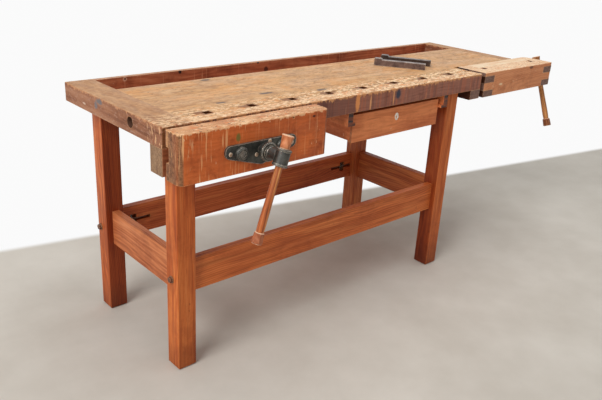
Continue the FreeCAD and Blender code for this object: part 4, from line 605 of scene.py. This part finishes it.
# %% End caps
CAP_TONES = (colour(174, 122, 90), colour(150, 98, 70), colour(108, 64, 44))
CAP_BOLTS = {"left_end_cap": (0.010, 0.182, 0.820), "right_end_cap": (1.965, 0.305, 0.820)}
BORE_REACH = (0.022, 0.020, 0.020)
BITTEN_FROM, BITTEN_TO = 0.02, 0.13
SCUFFS = (((0, 0.380, 0.838), (0.02, 0.018, 0.009), colour(116, 108, 108)),
          ((0, 0.494, 0.808), (0.02, 0.012, 0.003), colour(206, 176, 156)),
          ((0, 0.405, 0.822), (0.02, 0.010, 0.012), colour(124, 112, 112)))
for name, seed in (("left_end_cap", 1.2), ("right_end_cap", 5.4)):
    cap = start_wood(name + "_wood", "y", CAP_TONES, seed=seed, end=END_GRAIN)
    grime(cap, colour(152, 122, 104), 0.6, 7.0)
    specks(cap, colour(184, 144, 124), 0.5, (60, 70, 140), 0.54, 0.68)
    specks(cap, colour(216, 186, 166), 0.7, (120, 120, 160), 0.69, 0.74, None, (5, 2, 1))
    bare_top(cap, colour(198, 151, 109), colour(165, 117, 81), (40, 12, 40))
    blots = cap.noise((26, 14, 26), 5, 0.74, (seed, 0, 3))
    cap.paint(cap.times(cap.up, cap.fade(blots, 0.5, 0.66, 0.0, 0.6)), colour(153, 111, 81))
    bites(cap, 0.14, 0.9)
    chipped_arris(cap, colour(206, 150, 108), 0.75, TOP, 0.006, 0.05)
    worn_edges(cap, colour(218, 162, 116), 0.8, 0.005, 26)
    if name == "left_end_cap":
        patches(cap, SCUFFS, 0.35, 90)
        front_bites = cap.fade(cap.y, FRONT_EDGE + BITTEN_FROM, FRONT_EDGE + BITTEN_TO, 1.0, 0.0)
        specks(cap, colour(232, 186, 142), 0.85, (60, 110, 36), 0.56, 0.64, front_bites, (2, 8, 1))
        specks(cap, colour(150, 74, 40), 0.7, (60, 90, 26), 0.56, 0.66, front_bites, (6, 3, 5))
    # Painted shade: the walls of the counterbore round each bolt are darkened.
    bore_wall_shade = cap.near(spot(*CAP_BOLTS[name]), BORE_REACH, 0.0, 60, 0.05)
    sideways = cap.fade(cap.maths("ABSOLUTE", cap.facing[0]), 0.3, 0.7, 1.0, 0.0)
    cap.paint(cap.times(bore_wall_shade, sideways), colour(104, 74, 60))
    wear([name], cap.done(bump=0.35, coat=0.02, specular=0.16))
print("cap bolts:", CAP_BOLTS)

# %% [markdown]
# ### The tool tray
# The tray's floor and back board were varnished with the base, a shade redder, and the bottom has
# gone grey with dust. Knots and old nail holes show as small dark dots on the back board. They
# could be drilled, but at a few millimetres a dark patch looks the same.

# %% The tray
TRAY_TONES = (colour(200, 124, 86), colour(177, 98, 64), colour(132, 66, 42))
back_board = start_wood("back_board_wood", "x", TRAY_TONES, seed=6.6, end=END_GRAIN, contrast=0.9)
grime(back_board, colour(156, 112, 96), 0.6, 9.0)
specks(back_board, colour(214, 170, 136), 0.5, (50, 50, 80), 0.68, 0.74)
scratches(back_board, (160, 160, 5), colour(214, 150, 110), 0.5, 0.66, 0.72)
bare_top(back_board, colour(206, 158, 120), colour(164, 112, 80), (18, 60, 60))
worn_edges(back_board, colour(214, 168, 128), 0.8, 0.004, 20)
BOARD_FACE, HOLE_DEEP = 0.616, 0.006
NAIL_HOLE = colour(44, 24, 18)
holes = ((0.2145, 0.842, 0.0075, colour(214, 166, 136)), (0.2145, 0.842, 0.0040, colour(96, 48, 34)),
         (0.4443, 0.846, 0.0070, NAIL_HOLE), (0.8198, 0.849, 0.0050, NAIL_HOLE),
         (0.8637, 0.8176, 0.0110, colour(84, 38, 26)))
patches(back_board, [((along, BOARD_FACE, high), (reach, HOLE_DEEP, reach), tint)
                     for along, high, reach, tint in holes], 0.2, 150)
wear(["back_board"], back_board.done(bump=0.3, coat=0.06))
tray = start_wood("tray_wood", "x", TRAY_TONES, seed=3.6, end=END_GRAIN)
grime(tray, colour(130, 108, 98), 0.8, 8.0, 0.40, 0.6)
specks(tray, colour(188, 160, 140), 0.6, (40, 60, 60), 0.62, 0.70)
wear(["tray_bottom"], tray.done(bump=0.3))
print("holes and knots in the back board:", len(holes))

# %% [markdown]
# ### The front vise's jaws
# The chop is one thick board, orange brown on its face with pale scratches that run down it. Its
# top is chewed: torn pale orange fibres with dark pits between them, and white chips along the
# arris. Both ends are rounded, and the sawn end grain wraps round them grey brown. A second
# material would stop at a hard line there, so the way that a point faces says how much of the end
# grain it shows.

# %% The chop
CHOP_TONES = (colour(230, 130, 68), colour(216, 110, 54), colour(176, 82, 40))
CHOP_END = (colour(104, 68, 44), colour(164, 114, 78))
CHOP_FACE = -0.090
DARKER_FROM, DARKER_TO = 0.20, 0.50
SCRATCHED_FROM, SCRATCHED_TO = 0.10, 0.30
CORNER, CORNER_REACH = (0.024, CHOP_FACE, 0.80), (0.020, 0.030, 0.050)
CHOP_MARKS = (((0.1985, CHOP_FACE, 0.8126), (0.0075, 0.02, 0.013), colour(132, 112, 54)),
              ((0.4930, CHOP_FACE, 0.8350), (0.0060, 0.02, 0.0035), colour(84, 40, 26)))
chop = start_wood("chop_wood", "x", CHOP_TONES, seed=3.3, end=CHOP_END, contrast=0.4, blotch=0.35,
                  ends_from=(0.12, 0.5))
right_side = chop.fade(chop.x, LEFT_END + DARKER_FROM, LEFT_END + DARKER_TO, 0.0, 0.55)
clouds = chop.fade(chop.noise((7, 9, 16), 6, 0.74), 0.38, 0.58)
chop.paint(chop.times(right_side, clouds), colour(166, 82, 50))
grime(chop, colour(150, 96, 72), 0.55, 13.0)
scratches(chop, (60, 60, 4), colour(178, 84, 44), 0.3, 0.48, 0.68, (3, 3, 3))
left_part = chop.fade(chop.x, LEFT_END + SCRATCHED_FROM, LEFT_END + SCRATCHED_TO, 1.0, 0.35)
pale_lines = chop.fade(chop.noise((170, 170, 9), 2, 0.5), 0.60, 0.68)
chop.paint(chop.times(chop.times(pale_lines, left_part), 0.8), colour(244, 180, 124))
specks(chop, colour(244, 204, 160), 0.7, (60, 60, 34), 0.68, 0.73, None, (4, 4, 4))
bare_top(chop, colour(226, 172, 122), colour(190, 126, 80), (20, 50, 50))
specks(chop, colour(246, 208, 164), 0.8, (50, 90, 90), 0.54, 0.62, chop.up, (5, 1, 8))
specks(chop, colour(214, 122, 66), 0.7, (36, 70, 70), 0.56, 0.64, chop.up, (2, 9, 4))
specks(chop, colour(108, 62, 38), 0.9, (95, 150, 150), 0.60, 0.65, chop.up, (8, 3, 1))
chipped_arris(chop, colour(240, 192, 144), 0.85, TOP, 0.005, 0.035)
left_corner = chop.near(spot(*CORNER), CORNER_REACH, 0.5, 40, 0.6)
specks(chop, colour(240, 190, 140), 0.7, (190, 190, 20), 0.57, 0.65, left_corner, (1, 1, 6))
worn_edges(chop, colour(238, 176, 120), 0.85, 0.006, 24)
patches(chop, CHOP_MARKS, 0.2, 120)
wear(["front_chop"], chop.done(bump=0.35, coat=0.06, specular=0.2))
print("chop marks:", len(CHOP_MARKS))

# %% [markdown]
# The fixed jaw behind it is a block glued under the top. It is darker, and the face that the chop
# closes on is bruised. Its dents could be modelled, but it stands in shadow, where upright streaks
# of noise are enough.

# %% The fixed jaw
JAW_TONES = (colour(190, 122, 80), colour(158, 94, 60), colour(104, 58, 38))
JAW_END = (colour(120, 90, 66), colour(166, 130, 98))
jaw = start_wood("jaw_block_wood", "x", JAW_TONES, seed=8.3, end=JAW_END)
grime(jaw, colour(140, 108, 92), 0.7, 6.0)
specks(jaw, colour(214, 170, 132), 0.6, (60, 60, 60), 0.64, 0.70)
scratches(jaw, (150, 150, 8), colour(92, 50, 34), 0.5, 0.58, 0.68)
worn_edges(jaw, colour(212, 154, 106), 0.7, 0.005)
wear(["fixed_jaw_block"], jaw.done(bump=0.35))
print("fixed jaw done")

# %% [markdown]
# ### The tail vise
# A sliding box of boards, joined at its corners with fingers whose sawn ends show as dark squares.
# Its front is a rosier tan than the rest of the bench, its cover is the cleanest piece of the top,
# and the faces that close on the work are painted almost black as painted shade in the gap. Those
# faces could be picked on the mesh, but a mask on the way they face still holds when a board changes
# its size.

# %% The tail vise
TAIL_TONES = (colour(238, 168, 122), colour(226, 150, 103), colour(192, 116, 78))
FINGER_END = (colour(106, 78, 68), colour(146, 112, 98))
GAP_SHADE = colour(64, 32, 18)
TAIL_MARKS = (((1.675, 0, 0.791), (0.013, 0.02, 0.005), colour(244, 208, 168)),
              ((1.905, 0, 0.842), (0.014, 0.02, 0.006), colour(130, 84, 60)))
tail_parts = (("tail_front_board", "x"), ("tail_inner_board", "x"), ("tail_runner", "x"),
              ("tail_jaw_block", "y"), ("tail_end_block", "y"), ("slot_batten", "y"),
              ("tail_nut_block", "y"))
for count, (name, along) in enumerate(tail_parts):
    tail = start_wood(name + "_wood", along, TAIL_TONES, seed=count + 11.7, end=FINGER_END, contrast=0.6)
    grime(tail, colour(176, 138, 118), 0.55, 7.0)
    bare_top(tail, colour(248, 212, 174), colour(228, 180, 138), (18, 18, 50))
    bites(tail, 0.2, 0.6)
    specks(tail, colour(238, 196, 158), 0.6, (50, 50, 50), 0.66, 0.72)
    worn_edges(tail, colour(240, 186, 138), 0.8, 0.005, 20)
    if name == "tail_front_board":
        patches(tail, TAIL_MARKS, 0.25, 90)
    if name in ("tail_jaw_block", "slot_batten"):
        # Painted shade: the faces of these blocks that look along the bench, into the gap, are painted
        # almost black.
        tail.paint(tail.fade(tail.maths("ABSOLUTE", tail.facing[0]), 0.5, 0.9), GAP_SHADE)
    wear([name], tail.done(bump=0.3, coat=0.04))
cover = mottled_top("tail_cover_wood", 13.0)
cover.paint(0.8, cover.ramp(cover.noise((8, 40, 40), 5, 0.6), (0.36, colour(244, 200, 158)),
                            (0.64, colour(255, 234, 202))))
wear(["tail_top_board"], cover.done(bump=0.35, specular=0.2))
print("tail vise boards:", len(tail_parts) + 1)

# %% [markdown]
# ### The drawer and its hangers
# The drawer hangs on cleats between two rabbeted runners. It is plain, smooth and orange brown,
# and the runners' sawn ends are almost black. One finish could serve for all its boards, but the
# same streaks would then show on each, so every board has a seed of its own.

# %% Drawer and hangers
# Painted light: the drawer's tones and the pale ends of its boards are lifted so that it reads as lit
# although the top shades it.
DRAWER_LIT_TONES = (colour(244, 156, 98), colour(232, 140, 86), colour(196, 108, 66))
HANGER_END = (colour(46, 40, 44), colour(84, 70, 66))
DRAWER_END = (colour(160, 100, 64), colour(200, 136, 92))
drawer_parts = (("drawer_front", "x"), ("drawer_back", "x"), ("drawer_bottom", "x"),
                ("drawer_left_side", "y"), ("drawer_right_side", "y"), ("drawer_cleats", "y"),
                ("left_hanger", "y"), ("right_hanger", "y"))
for count, (name, along) in enumerate(drawer_parts):
    end = HANGER_END if "hanger" in name else DRAWER_END
    drawer = start_wood(name + "_wood", along, DRAWER_LIT_TONES, seed=count + 17.1, end=end, contrast=0.5)
    grime(drawer, colour(184, 144, 122), 0.45, 5.0)
    scratches(drawer, (6, 60, 60), colour(184, 92, 52), 0.4, 0.48, 0.64, (2, 7, 5))
    specks(drawer, colour(236, 196, 160), 0.5, (50, 50, 40), 0.70, 0.75)
    scratches(drawer, (9, 150, 150), colour(160, 84, 52), 0.3, 0.60, 0.70)
    worn_edges(drawer, colour(230, 164, 114), 0.5, 0.004)
    wear([name], drawer.done(bump=0.22, coat=0.06))
print("drawer parts:", len(drawer_parts))

# %% [markdown]
# ### The handles
# Turned bars that slide through the T-heads. Hands have polished the front one to a deep orange
# brown with dark streaks along it, the tail one to a yellow brown. The knobs were turned from
# other wood: end grain shows on their faces, and the rims are painted pale, partly as rubbed wood
# and partly as painted highlight. The rims' places could be written down. They are read from the
# mesh instead, as the first and last points of each knob along the handle.

# %% Handles
HANDLE_TONES = {"front": (colour(216, 130, 66), colour(182, 94, 40), colour(112, 50, 22)),
                "tail": (colour(222, 160, 92), colour(190, 124, 66), colour(138, 80, 40))}
KNOB_TONES = {"front": (colour(236, 166, 124), colour(214, 132, 86), colour(150, 76, 44)),
              "tail": (colour(216, 152, 92), colour(176, 112, 64), colour(110, 62, 36))}
FRONT_LEAN, TAIL_LEAN = math.radians(18.4), math.radians(21.7)
HANDLE_TURN = {"front": (0, -FRONT_LEAN, 0), "tail": (TAIL_LEAN, 0, 0)}
HANDLE_AXIS = {"front": Vector((math.sin(FRONT_LEAN), 0, math.cos(FRONT_LEAN))),
               "tail": Vector((0, math.sin(TAIL_LEAN), math.cos(TAIL_LEAN)))}
KNOB_END = (colour(176, 112, 78), colour(222, 168, 128))
RIM_WIDE = 0.003
MIDDLE_SOFT = 0.02


def knob_rims(finish, node, axis, tint):
    """Pale rings on the rims of both knobs: rubbed wood and painted highlight."""
    heights = sorted(vert.co.dot(axis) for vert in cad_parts[node].data.vertices)
    half_way = (heights[0] + heights[-1]) / 2
    low_knob = [height for height in heights if height < half_way]
    high_knob = [height for height in heights if height > half_way]
    along = finish.add("VectorMath", operation="DOT_PRODUCT")
    finish.feed(along.inputs[0], finish.place)
    along.inputs[1].default_value = axis
    patchy = finish.fade(finish.noise(45, 3), 0.36, 0.56, 0.2, 0.9)
    for rim in (low_knob[0], low_knob[-1], high_knob[0], high_knob[-1]):
        away = finish.maths("ABSOLUTE", finish.plus(along.outputs["Value"], -rim))
        finish.paint(finish.times(finish.fade(away, RIM_WIDE * 0.4, RIM_WIDE, 1.0, 0.0), patchy), tint)


for prefix, tones in HANDLE_TONES.items():
    bar = start_wood(prefix + "_handle_wood", "z", tones, seed=21.0 + len(prefix), contrast=0.9,
                     turn=HANDLE_TURN[prefix])
    scratches(bar, (130, 130, 6), colour(92, 42, 24), 0.7, 0.52, 0.64)
    scratches(bar, (110, 110, 5), colour(242, 172, 104), 0.7, 0.56, 0.66, (2, 5, 1))
    wear([prefix + "_handle_rod"], bar.done(bump=0.2, coat=0.22, coat_rough=0.3, specular=0.35))
    knob = start_wood(prefix + "_knob_wood", "z", KNOB_TONES[prefix], seed=26.0 + len(prefix),
                      end=KNOB_END, contrast=0.8)
    low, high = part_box(prefix + "_handle_knobs")
    middle = (low[2] + high[2]) / 2
    lower_knob = knob.fade(knob.z, middle - MIDDLE_SOFT, middle + MIDDLE_SOFT, 0.6, 0.0)
    knob.paint(lower_knob, colour(150, 96, 74), "MULTIPLY")
    grime(knob, colour(130, 84, 64), 0.6, 22.0)
    # Painted highlight and wear: pale rings on the rims of both knobs.
    knob_rims(knob, prefix + "_handle_knobs", HANDLE_AXIS[prefix], colour(246, 206, 172))
    wear([prefix + "_handle_knobs"], knob.done(bump=0.25, coat=0.15))
    print(prefix, "handle and knobs done")

# %% [markdown]
# ## Metal
# The vise irons are cast and blacked with oil; the skin is pebbly, a little green, and its rims
# are painted bright, partly as rubbed metal and partly as painted highlight. Bolts have gone rusty,
# screws show brass, and the loose dogs are forged steel gone brown with pale edges, polished and
# painted highlight alike. One recipe serves for all of them, because only its three tones, the share
# of rust and the shine change.

# %% Metal


def iron(name, tones, rust=0.3, rough=(0.34, 0.52), metal=0.55, pebble=240.0):
    """Metal from a dark tone, a light tone and the tone of its edges, rubbed and painted highlight."""
    dark, light, rubbed = tones
    finish = Finish(name)
    cloud = finish.noise(30, 6, 0.68)
    finish.tint = finish.ramp(cloud, (0.38, dark), (0.64, light))
    finish.paint(finish.fade(finish.noise(75, 5, 0.7), 0.56, 0.70, 0.0, rust), colour(112, 66, 42))
    # Painted highlight and wear: pale rims stand in for the glints on rounded edges as well as for rubbed
    # metal.
    edge = finish.arris(0.0036, 0.01, 0.11)
    patchy = finish.fade(finish.noise(60, 4, 0.6), 0.36, 0.58, 0.25, 1.0)
    finish.paint(finish.times(edge, patchy), rubbed)
    finish.rough = finish.fade(cloud, 0.35, 0.65, rough[1], rough[0])
    finish.height = finish.noise(pebble, 4, 0.6)
    return finish.done(bump=0.3, depth=0.0006, rounding=0.0008, coat=0.3, coat_rough=0.35,
                       metal=metal, specular=0.5)


BLACK = (colour(36, 38, 36), colour(82, 82, 76), colour(196, 186, 172))
RUBBED = (colour(44, 44, 42), colour(90, 88, 82), colour(220, 208, 190))
RUSTY = (colour(82, 52, 40), colour(124, 82, 58), colour(176, 132, 100))
BRIGHT = (colour(104, 98, 92), colour(142, 136, 128), colour(200, 194, 184))
BRASS = (colour(150, 118, 92), colour(206, 176, 150), colour(238, 220, 198))
FRONT_DOG = (colour(76, 58, 54), colour(128, 106, 98), colour(206, 194, 182))
REAR_DOG = (colour(48, 34, 30), colour(88, 70, 62), colour(160, 146, 134))
irons = (
    (iron("black_iron", BLACK),
     ("chop_plate", "rod_ring_nuts", "screw_collar", "rod_tie_bar", "front_guide_plate",
      "tail_screw_plate", "frame_wing_nuts")),
    (iron("rubbed_iron", RUBBED, 0.35, (0.24, 0.36), 0.6, 90), ("front_screw", "tail_screw")),
    (iron("rusty_iron", RUSTY, 0.6, (0.5, 0.7), 0.3), ("frame_bolts", "cap_bolts")),
    (iron("bright_steel", BRIGHT, 0.2), ("guide_rods", "front_screw_nut", "tail_screw_nut")),
    (iron("old_brass", BRASS, 0.2, (0.35, 0.5), 0.5), ("chop_plate_screws", "tail_plate_screws")),
    (iron("front_dog_steel", FRONT_DOG, 0.35, (0.28, 0.48), 0.6, 150), ("front_dog", "front_dog_spring")),
    (iron("rear_dog_steel", REAR_DOG, 0.3, (0.3, 0.5), 0.6, 150), ("rear_dog", "rear_dog_spring")))
for metal, nodes in irons:
    wear(nodes, metal)
print("iron finishes:", len(irons))

# %% [markdown]
# ## Small trim
# What a joiner fits last is not in the frame and has to be modelled. The bmesh module does in a
# script what the editor does by hand, and its result is exact and the same on every run. The last
# steps are alike for any such piece: its faces are turned outwards, it gets its finish, and it is
# told which body carries it.

# %% Making a new piece


def new_piece(name, mesh_maker, material, body):
    """Make a mesh with bmesh, give it its finish and let it ride on a body."""
    work = bmesh.new()
    mesh_maker(work)
    bmesh.ops.recalc_face_normals(work, faces=work.faces)
    mesh = bpy.data.meshes.new(name)
    work.to_mesh(mesh)
    work.free()
    piece = bpy.data.objects.new(name, mesh)
    bpy.context.scene.collection.objects.link(piece)
    mesh.materials.append(material)
    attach(piece, body)
    print(name, len(mesh.polygons), "faces")


# %% [markdown]
# A thin plate round the keyhole keeps the key from scratching the drawer. It is a flat oval ring:
# two circles joined by faces, the outer one drawn tall and the lower half of the inner one pulled
# down into a keyhole, then given a thickness and a soft rim. A keyhole could also be cut out of a
# disc, but a ring has clean faces from the start.

# %% Escutcheon on the drawer
bone = Finish("escutcheon_bone")
bone.tint = bone.ramp(bone.noise(160, 4), (0.40, colour(232, 214, 196)), (0.60, colour(255, 250, 240)))
bone.rough = bone.fade(bone.noise(200, 3), 0.3, 0.7, 0.5, 0.35)
bone.height = bone.noise(300, 3)
bone_finish = bone.done(bump=0.15, depth=0.0004, rounding=0.0006)
DRAWER_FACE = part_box("drawer_front")[0][1]
LOCK = Vector((LEFT_END + 1.0248, DRAWER_FACE, 0.7332))
PLATE_RADIUS, PLATE_STRETCH, PLATE_THICK = 0.0100, 1.45, 0.0016
KEYHOLE_RADIUS, KEYHOLE_STRETCH = 0.0034, 2.4
PLATE_SIDES, RIM_SOFT, SHARP = 32, 0.0004, 1.0
SEAT_GAP = 0.0001


def escutcheon(work):
    """A small oval plate with a keyhole."""
    upright = Matrix.Rotation(math.radians(90), 4, "X")
    stand = Matrix.Translation(LOCK - Vector((0, SEAT_GAP, 0))) @ upright
    rings = []
    for radius in (PLATE_RADIUS, KEYHOLE_RADIUS):
        made = bmesh.ops.create_circle(work, cap_ends=False, segments=PLATE_SIDES, radius=radius,
                                       matrix=stand)
        rings.append(made["verts"])
    to_lock = Matrix.Translation(-LOCK)
    bmesh.ops.scale(work, vec=(1, 1, PLATE_STRETCH), space=to_lock, verts=rings[0])
    lower = [vert for vert in rings[1] if vert.co.z < LOCK.z]
    bmesh.ops.scale(work, vec=(1, 1, KEYHOLE_STRETCH), space=to_lock, verts=lower)
    bmesh.ops.bridge_loops(work, edges=work.edges[:])
    front = bmesh.ops.extrude_face_region(work, geom=work.faces[:])
    moved = [part for part in front["geom"] if isinstance(part, bmesh.types.BMVert)]
    bmesh.ops.translate(work, vec=(0, -PLATE_THICK, 0), verts=moved)
    rim = [edge for edge in work.edges if all(vert in moved for vert in edge.verts)
           and len(edge.link_faces) == 2 and edge.calc_face_angle(0) > SHARP]
    bmesh.ops.bevel(work, geom=rim, offset=RIM_SOFT, segments=2, profile=0.5, affect="EDGES",
                    material=-1)


new_piece("keyhole_plate", escutcheon, bone_finish, "drawer")

# %% [markdown]
# ## Floor, light and camera
# ### Floor
# A plain pale floor that turns white behind the bench stands in for a studio. A second sheet could
# be bent up for the backdrop, but its shadow would show. Here the one floor glows white past a line,
# only to the camera and in reflections, so that it adds no light to the bench.

# %% Floor
FLOOR_HALF = 14
WALL_LINE = (spot(-0.11, 1.204, 0), spot(3.017, 0.587, 0))
LINE_SOFT = (-0.02, 0.03)
WALL_WHITE = 0.96
FLOOR_TONES = (colour(204, 198, 188), colour(219, 214, 205))


def make_floor():
    """The floor, matt and a little clouded, white past the wall line."""
    work = bmesh.new()
    bmesh.ops.create_grid(work, x_segments=1, y_segments=1, size=FLOOR_HALF)
    mesh = bpy.data.meshes.new("floor")
    work.to_mesh(mesh)
    work.free()
    floor = bpy.data.objects.new("floor", mesh)
    bpy.context.scene.collection.objects.link(floor)
    plain = Finish("floor_paint")
    along = (WALL_LINE[1] - WALL_LINE[0]).normalized()
    away = Vector((-along.y, along.x, 0))
    lean = plain.add("VectorMath", operation="DOT_PRODUCT")
    plain.feed(lean.inputs[0], plain.place)
    lean.inputs[1].default_value = away
    past = plain.maths("SUBTRACT", lean.outputs["Value"], WALL_LINE[0].dot(away))
    plain.tint = plain.ramp(plain.noise(2.2, 5), (0.35, FLOOR_TONES[0]), (0.7, FLOOR_TONES[1]))
    plain.rough = plain.fade(plain.noise(9), 0.3, 0.7, 0.75, 0.6)
    plain.height = plain.noise(14, 5)
    material = plain.done(bump=0.05, rounding=0)
    white = plain.add("Emission")
    white.inputs["Strength"].default_value = WALL_WHITE
    path = plain.add("LightPath")
    seen = plain.maths("MAXIMUM", path.outputs["Is Camera Ray"], path.outputs["Is Glossy Ray"])
    seen = plain.maths("MAXIMUM", seen, path.outputs["Is Transmission Ray"])
    amount = plain.times(plain.fade(past, *LINE_SOFT), seen)
    mixer = plain.add("MixShader")
    plain.feed(mixer.inputs[0], amount)
    plain.feed(mixer.inputs[1], plain.shader.outputs[0])
    plain.feed(mixer.inputs[2], white.outputs[0])
    plain.feed(plain.tree.nodes["Material Output"].inputs["Surface"], mixer.outputs[0])
    mesh.materials.append(material)


make_floor()
print("floor", 2 * FLOOR_HALF, "m wide")

# %% [markdown]
# ### Light
# The broad lamp high on the left makes the tops and the left faces bright, a ceiling lamp evens out
# the top, and a pale sky fills the rest. Both lamps stand far off, so that the bench is lit alike
# along its length. A sun lamp would do the same with sharper shadows.

# %% Sky and lamps
SKY_LIGHT = 0.35
LIGHT_TINT = (1.0, 0.99, 0.975)
LAMPS = (("window_left", (-7.2, -1.8, 5.4), (0, 0, 0.6), 4.5, 455),
         ("ceiling", (0.7, 0.1, 5.2), (0.3, 0, 0), 4.0, 80))


def make_sky():
    """A pale sky that the camera and reflections see as white."""
    world = bpy.data.worlds.new("studio")
    bpy.context.scene.world = world
    world.use_nodes = True
    tree = world.node_tree
    tree.nodes["Background"].inputs["Color"].default_value = (*LIGHT_TINT, 1)
    tree.nodes["Background"].inputs["Strength"].default_value = SKY_LIGHT
    white = tree.nodes.new("ShaderNodeBackground")
    white.inputs["Color"].default_value = (1, 1, 1, 1)
    white.inputs["Strength"].default_value = WALL_WHITE
    path = tree.nodes.new("ShaderNodeLightPath")
    seen = path.outputs["Is Camera Ray"]
    for ray in ("Is Glossy Ray", "Is Transmission Ray"):
        either = tree.nodes.new("ShaderNodeMath")
        either.operation = "MAXIMUM"
        tree.links.new(seen, either.inputs[0])
        tree.links.new(path.outputs[ray], either.inputs[1])
        seen = either.outputs[0]
    mixer = tree.nodes.new("ShaderNodeMixShader")
    tree.links.new(seen, mixer.inputs[0])
    tree.links.new(tree.nodes["Background"].outputs[0], mixer.inputs[1])
    tree.links.new(white.outputs[0], mixer.inputs[2])
    tree.links.new(mixer.outputs[0], tree.nodes["World Output"].inputs["Surface"])


def lamp(name, place, aim, size, power):
    """A square lamp of a given size at a place, turned to a point."""
    data = bpy.data.lights.new(name, "AREA")
    data.size = size
    data.energy = power
    data.color = LIGHT_TINT
    light = bpy.data.objects.new(name, data)
    light.location = place
    light.rotation_euler = (Vector(aim) - Vector(place)).to_track_quat("-Z", "Y").to_euler()
    bpy.context.scene.collection.objects.link(light)
    print(name, power, "W")


make_sky()
for settings in LAMPS:
    lamp(*settings)

# %% [markdown]
# ### Camera
# The camera stands to the left of the bench at head height and looks down its length. Its lens is
# given in pixels of a picture 602 wide, and the middle of the lens lies a little off the picture's
# own middle, which is what the shift is for. A constraint could aim it at a point, but it would
# keep the camera upright. This one leans a little, so its turn is built from three directions.

# %% Camera
EYE = spot(-0.9354, -1.6054, 1.3987)
YAW, PITCH, ROLL = math.radians(42.22), math.radians(-21.88), math.radians(3.18)
FOCAL_PIXELS, CENTRE_X, CENTRE_Y = 682.0, 297.17, 195.73
WIDTH, HEIGHT = 602, 400
SENSOR = 36


def make_camera():
    """A camera at the eye, from its turn, its tilt and its roll."""
    forward = Vector((math.sin(YAW) * math.cos(PITCH), math.cos(YAW) * math.cos(PITCH), math.sin(PITCH)))
    level = Vector((math.cos(YAW), -math.sin(YAW), 0))
    upright = level.cross(forward)
    right = level * math.cos(ROLL) + upright * math.sin(ROLL)
    up = upright * math.cos(ROLL) - level * math.sin(ROLL)
    data = bpy.data.cameras.new("viewpoint")
    data.sensor_width = SENSOR
    data.lens = FOCAL_PIXELS * SENSOR / WIDTH
    data.shift_x = (WIDTH / 2 - CENTRE_X) / WIDTH
    data.shift_y = (CENTRE_Y - HEIGHT / 2) / WIDTH
    camera = bpy.data.objects.new("viewpoint", data)
    turn = Matrix((right, up, -forward)).transposed().to_4x4()
    camera.matrix_world = Matrix.Translation(EYE) @ turn
    bpy.context.scene.collection.objects.link(camera)
    bpy.context.scene.camera = camera
    print("lens", round(data.lens, 2), "mm")


make_camera()
bpy.context.scene.view_settings.view_transform = "Standard"
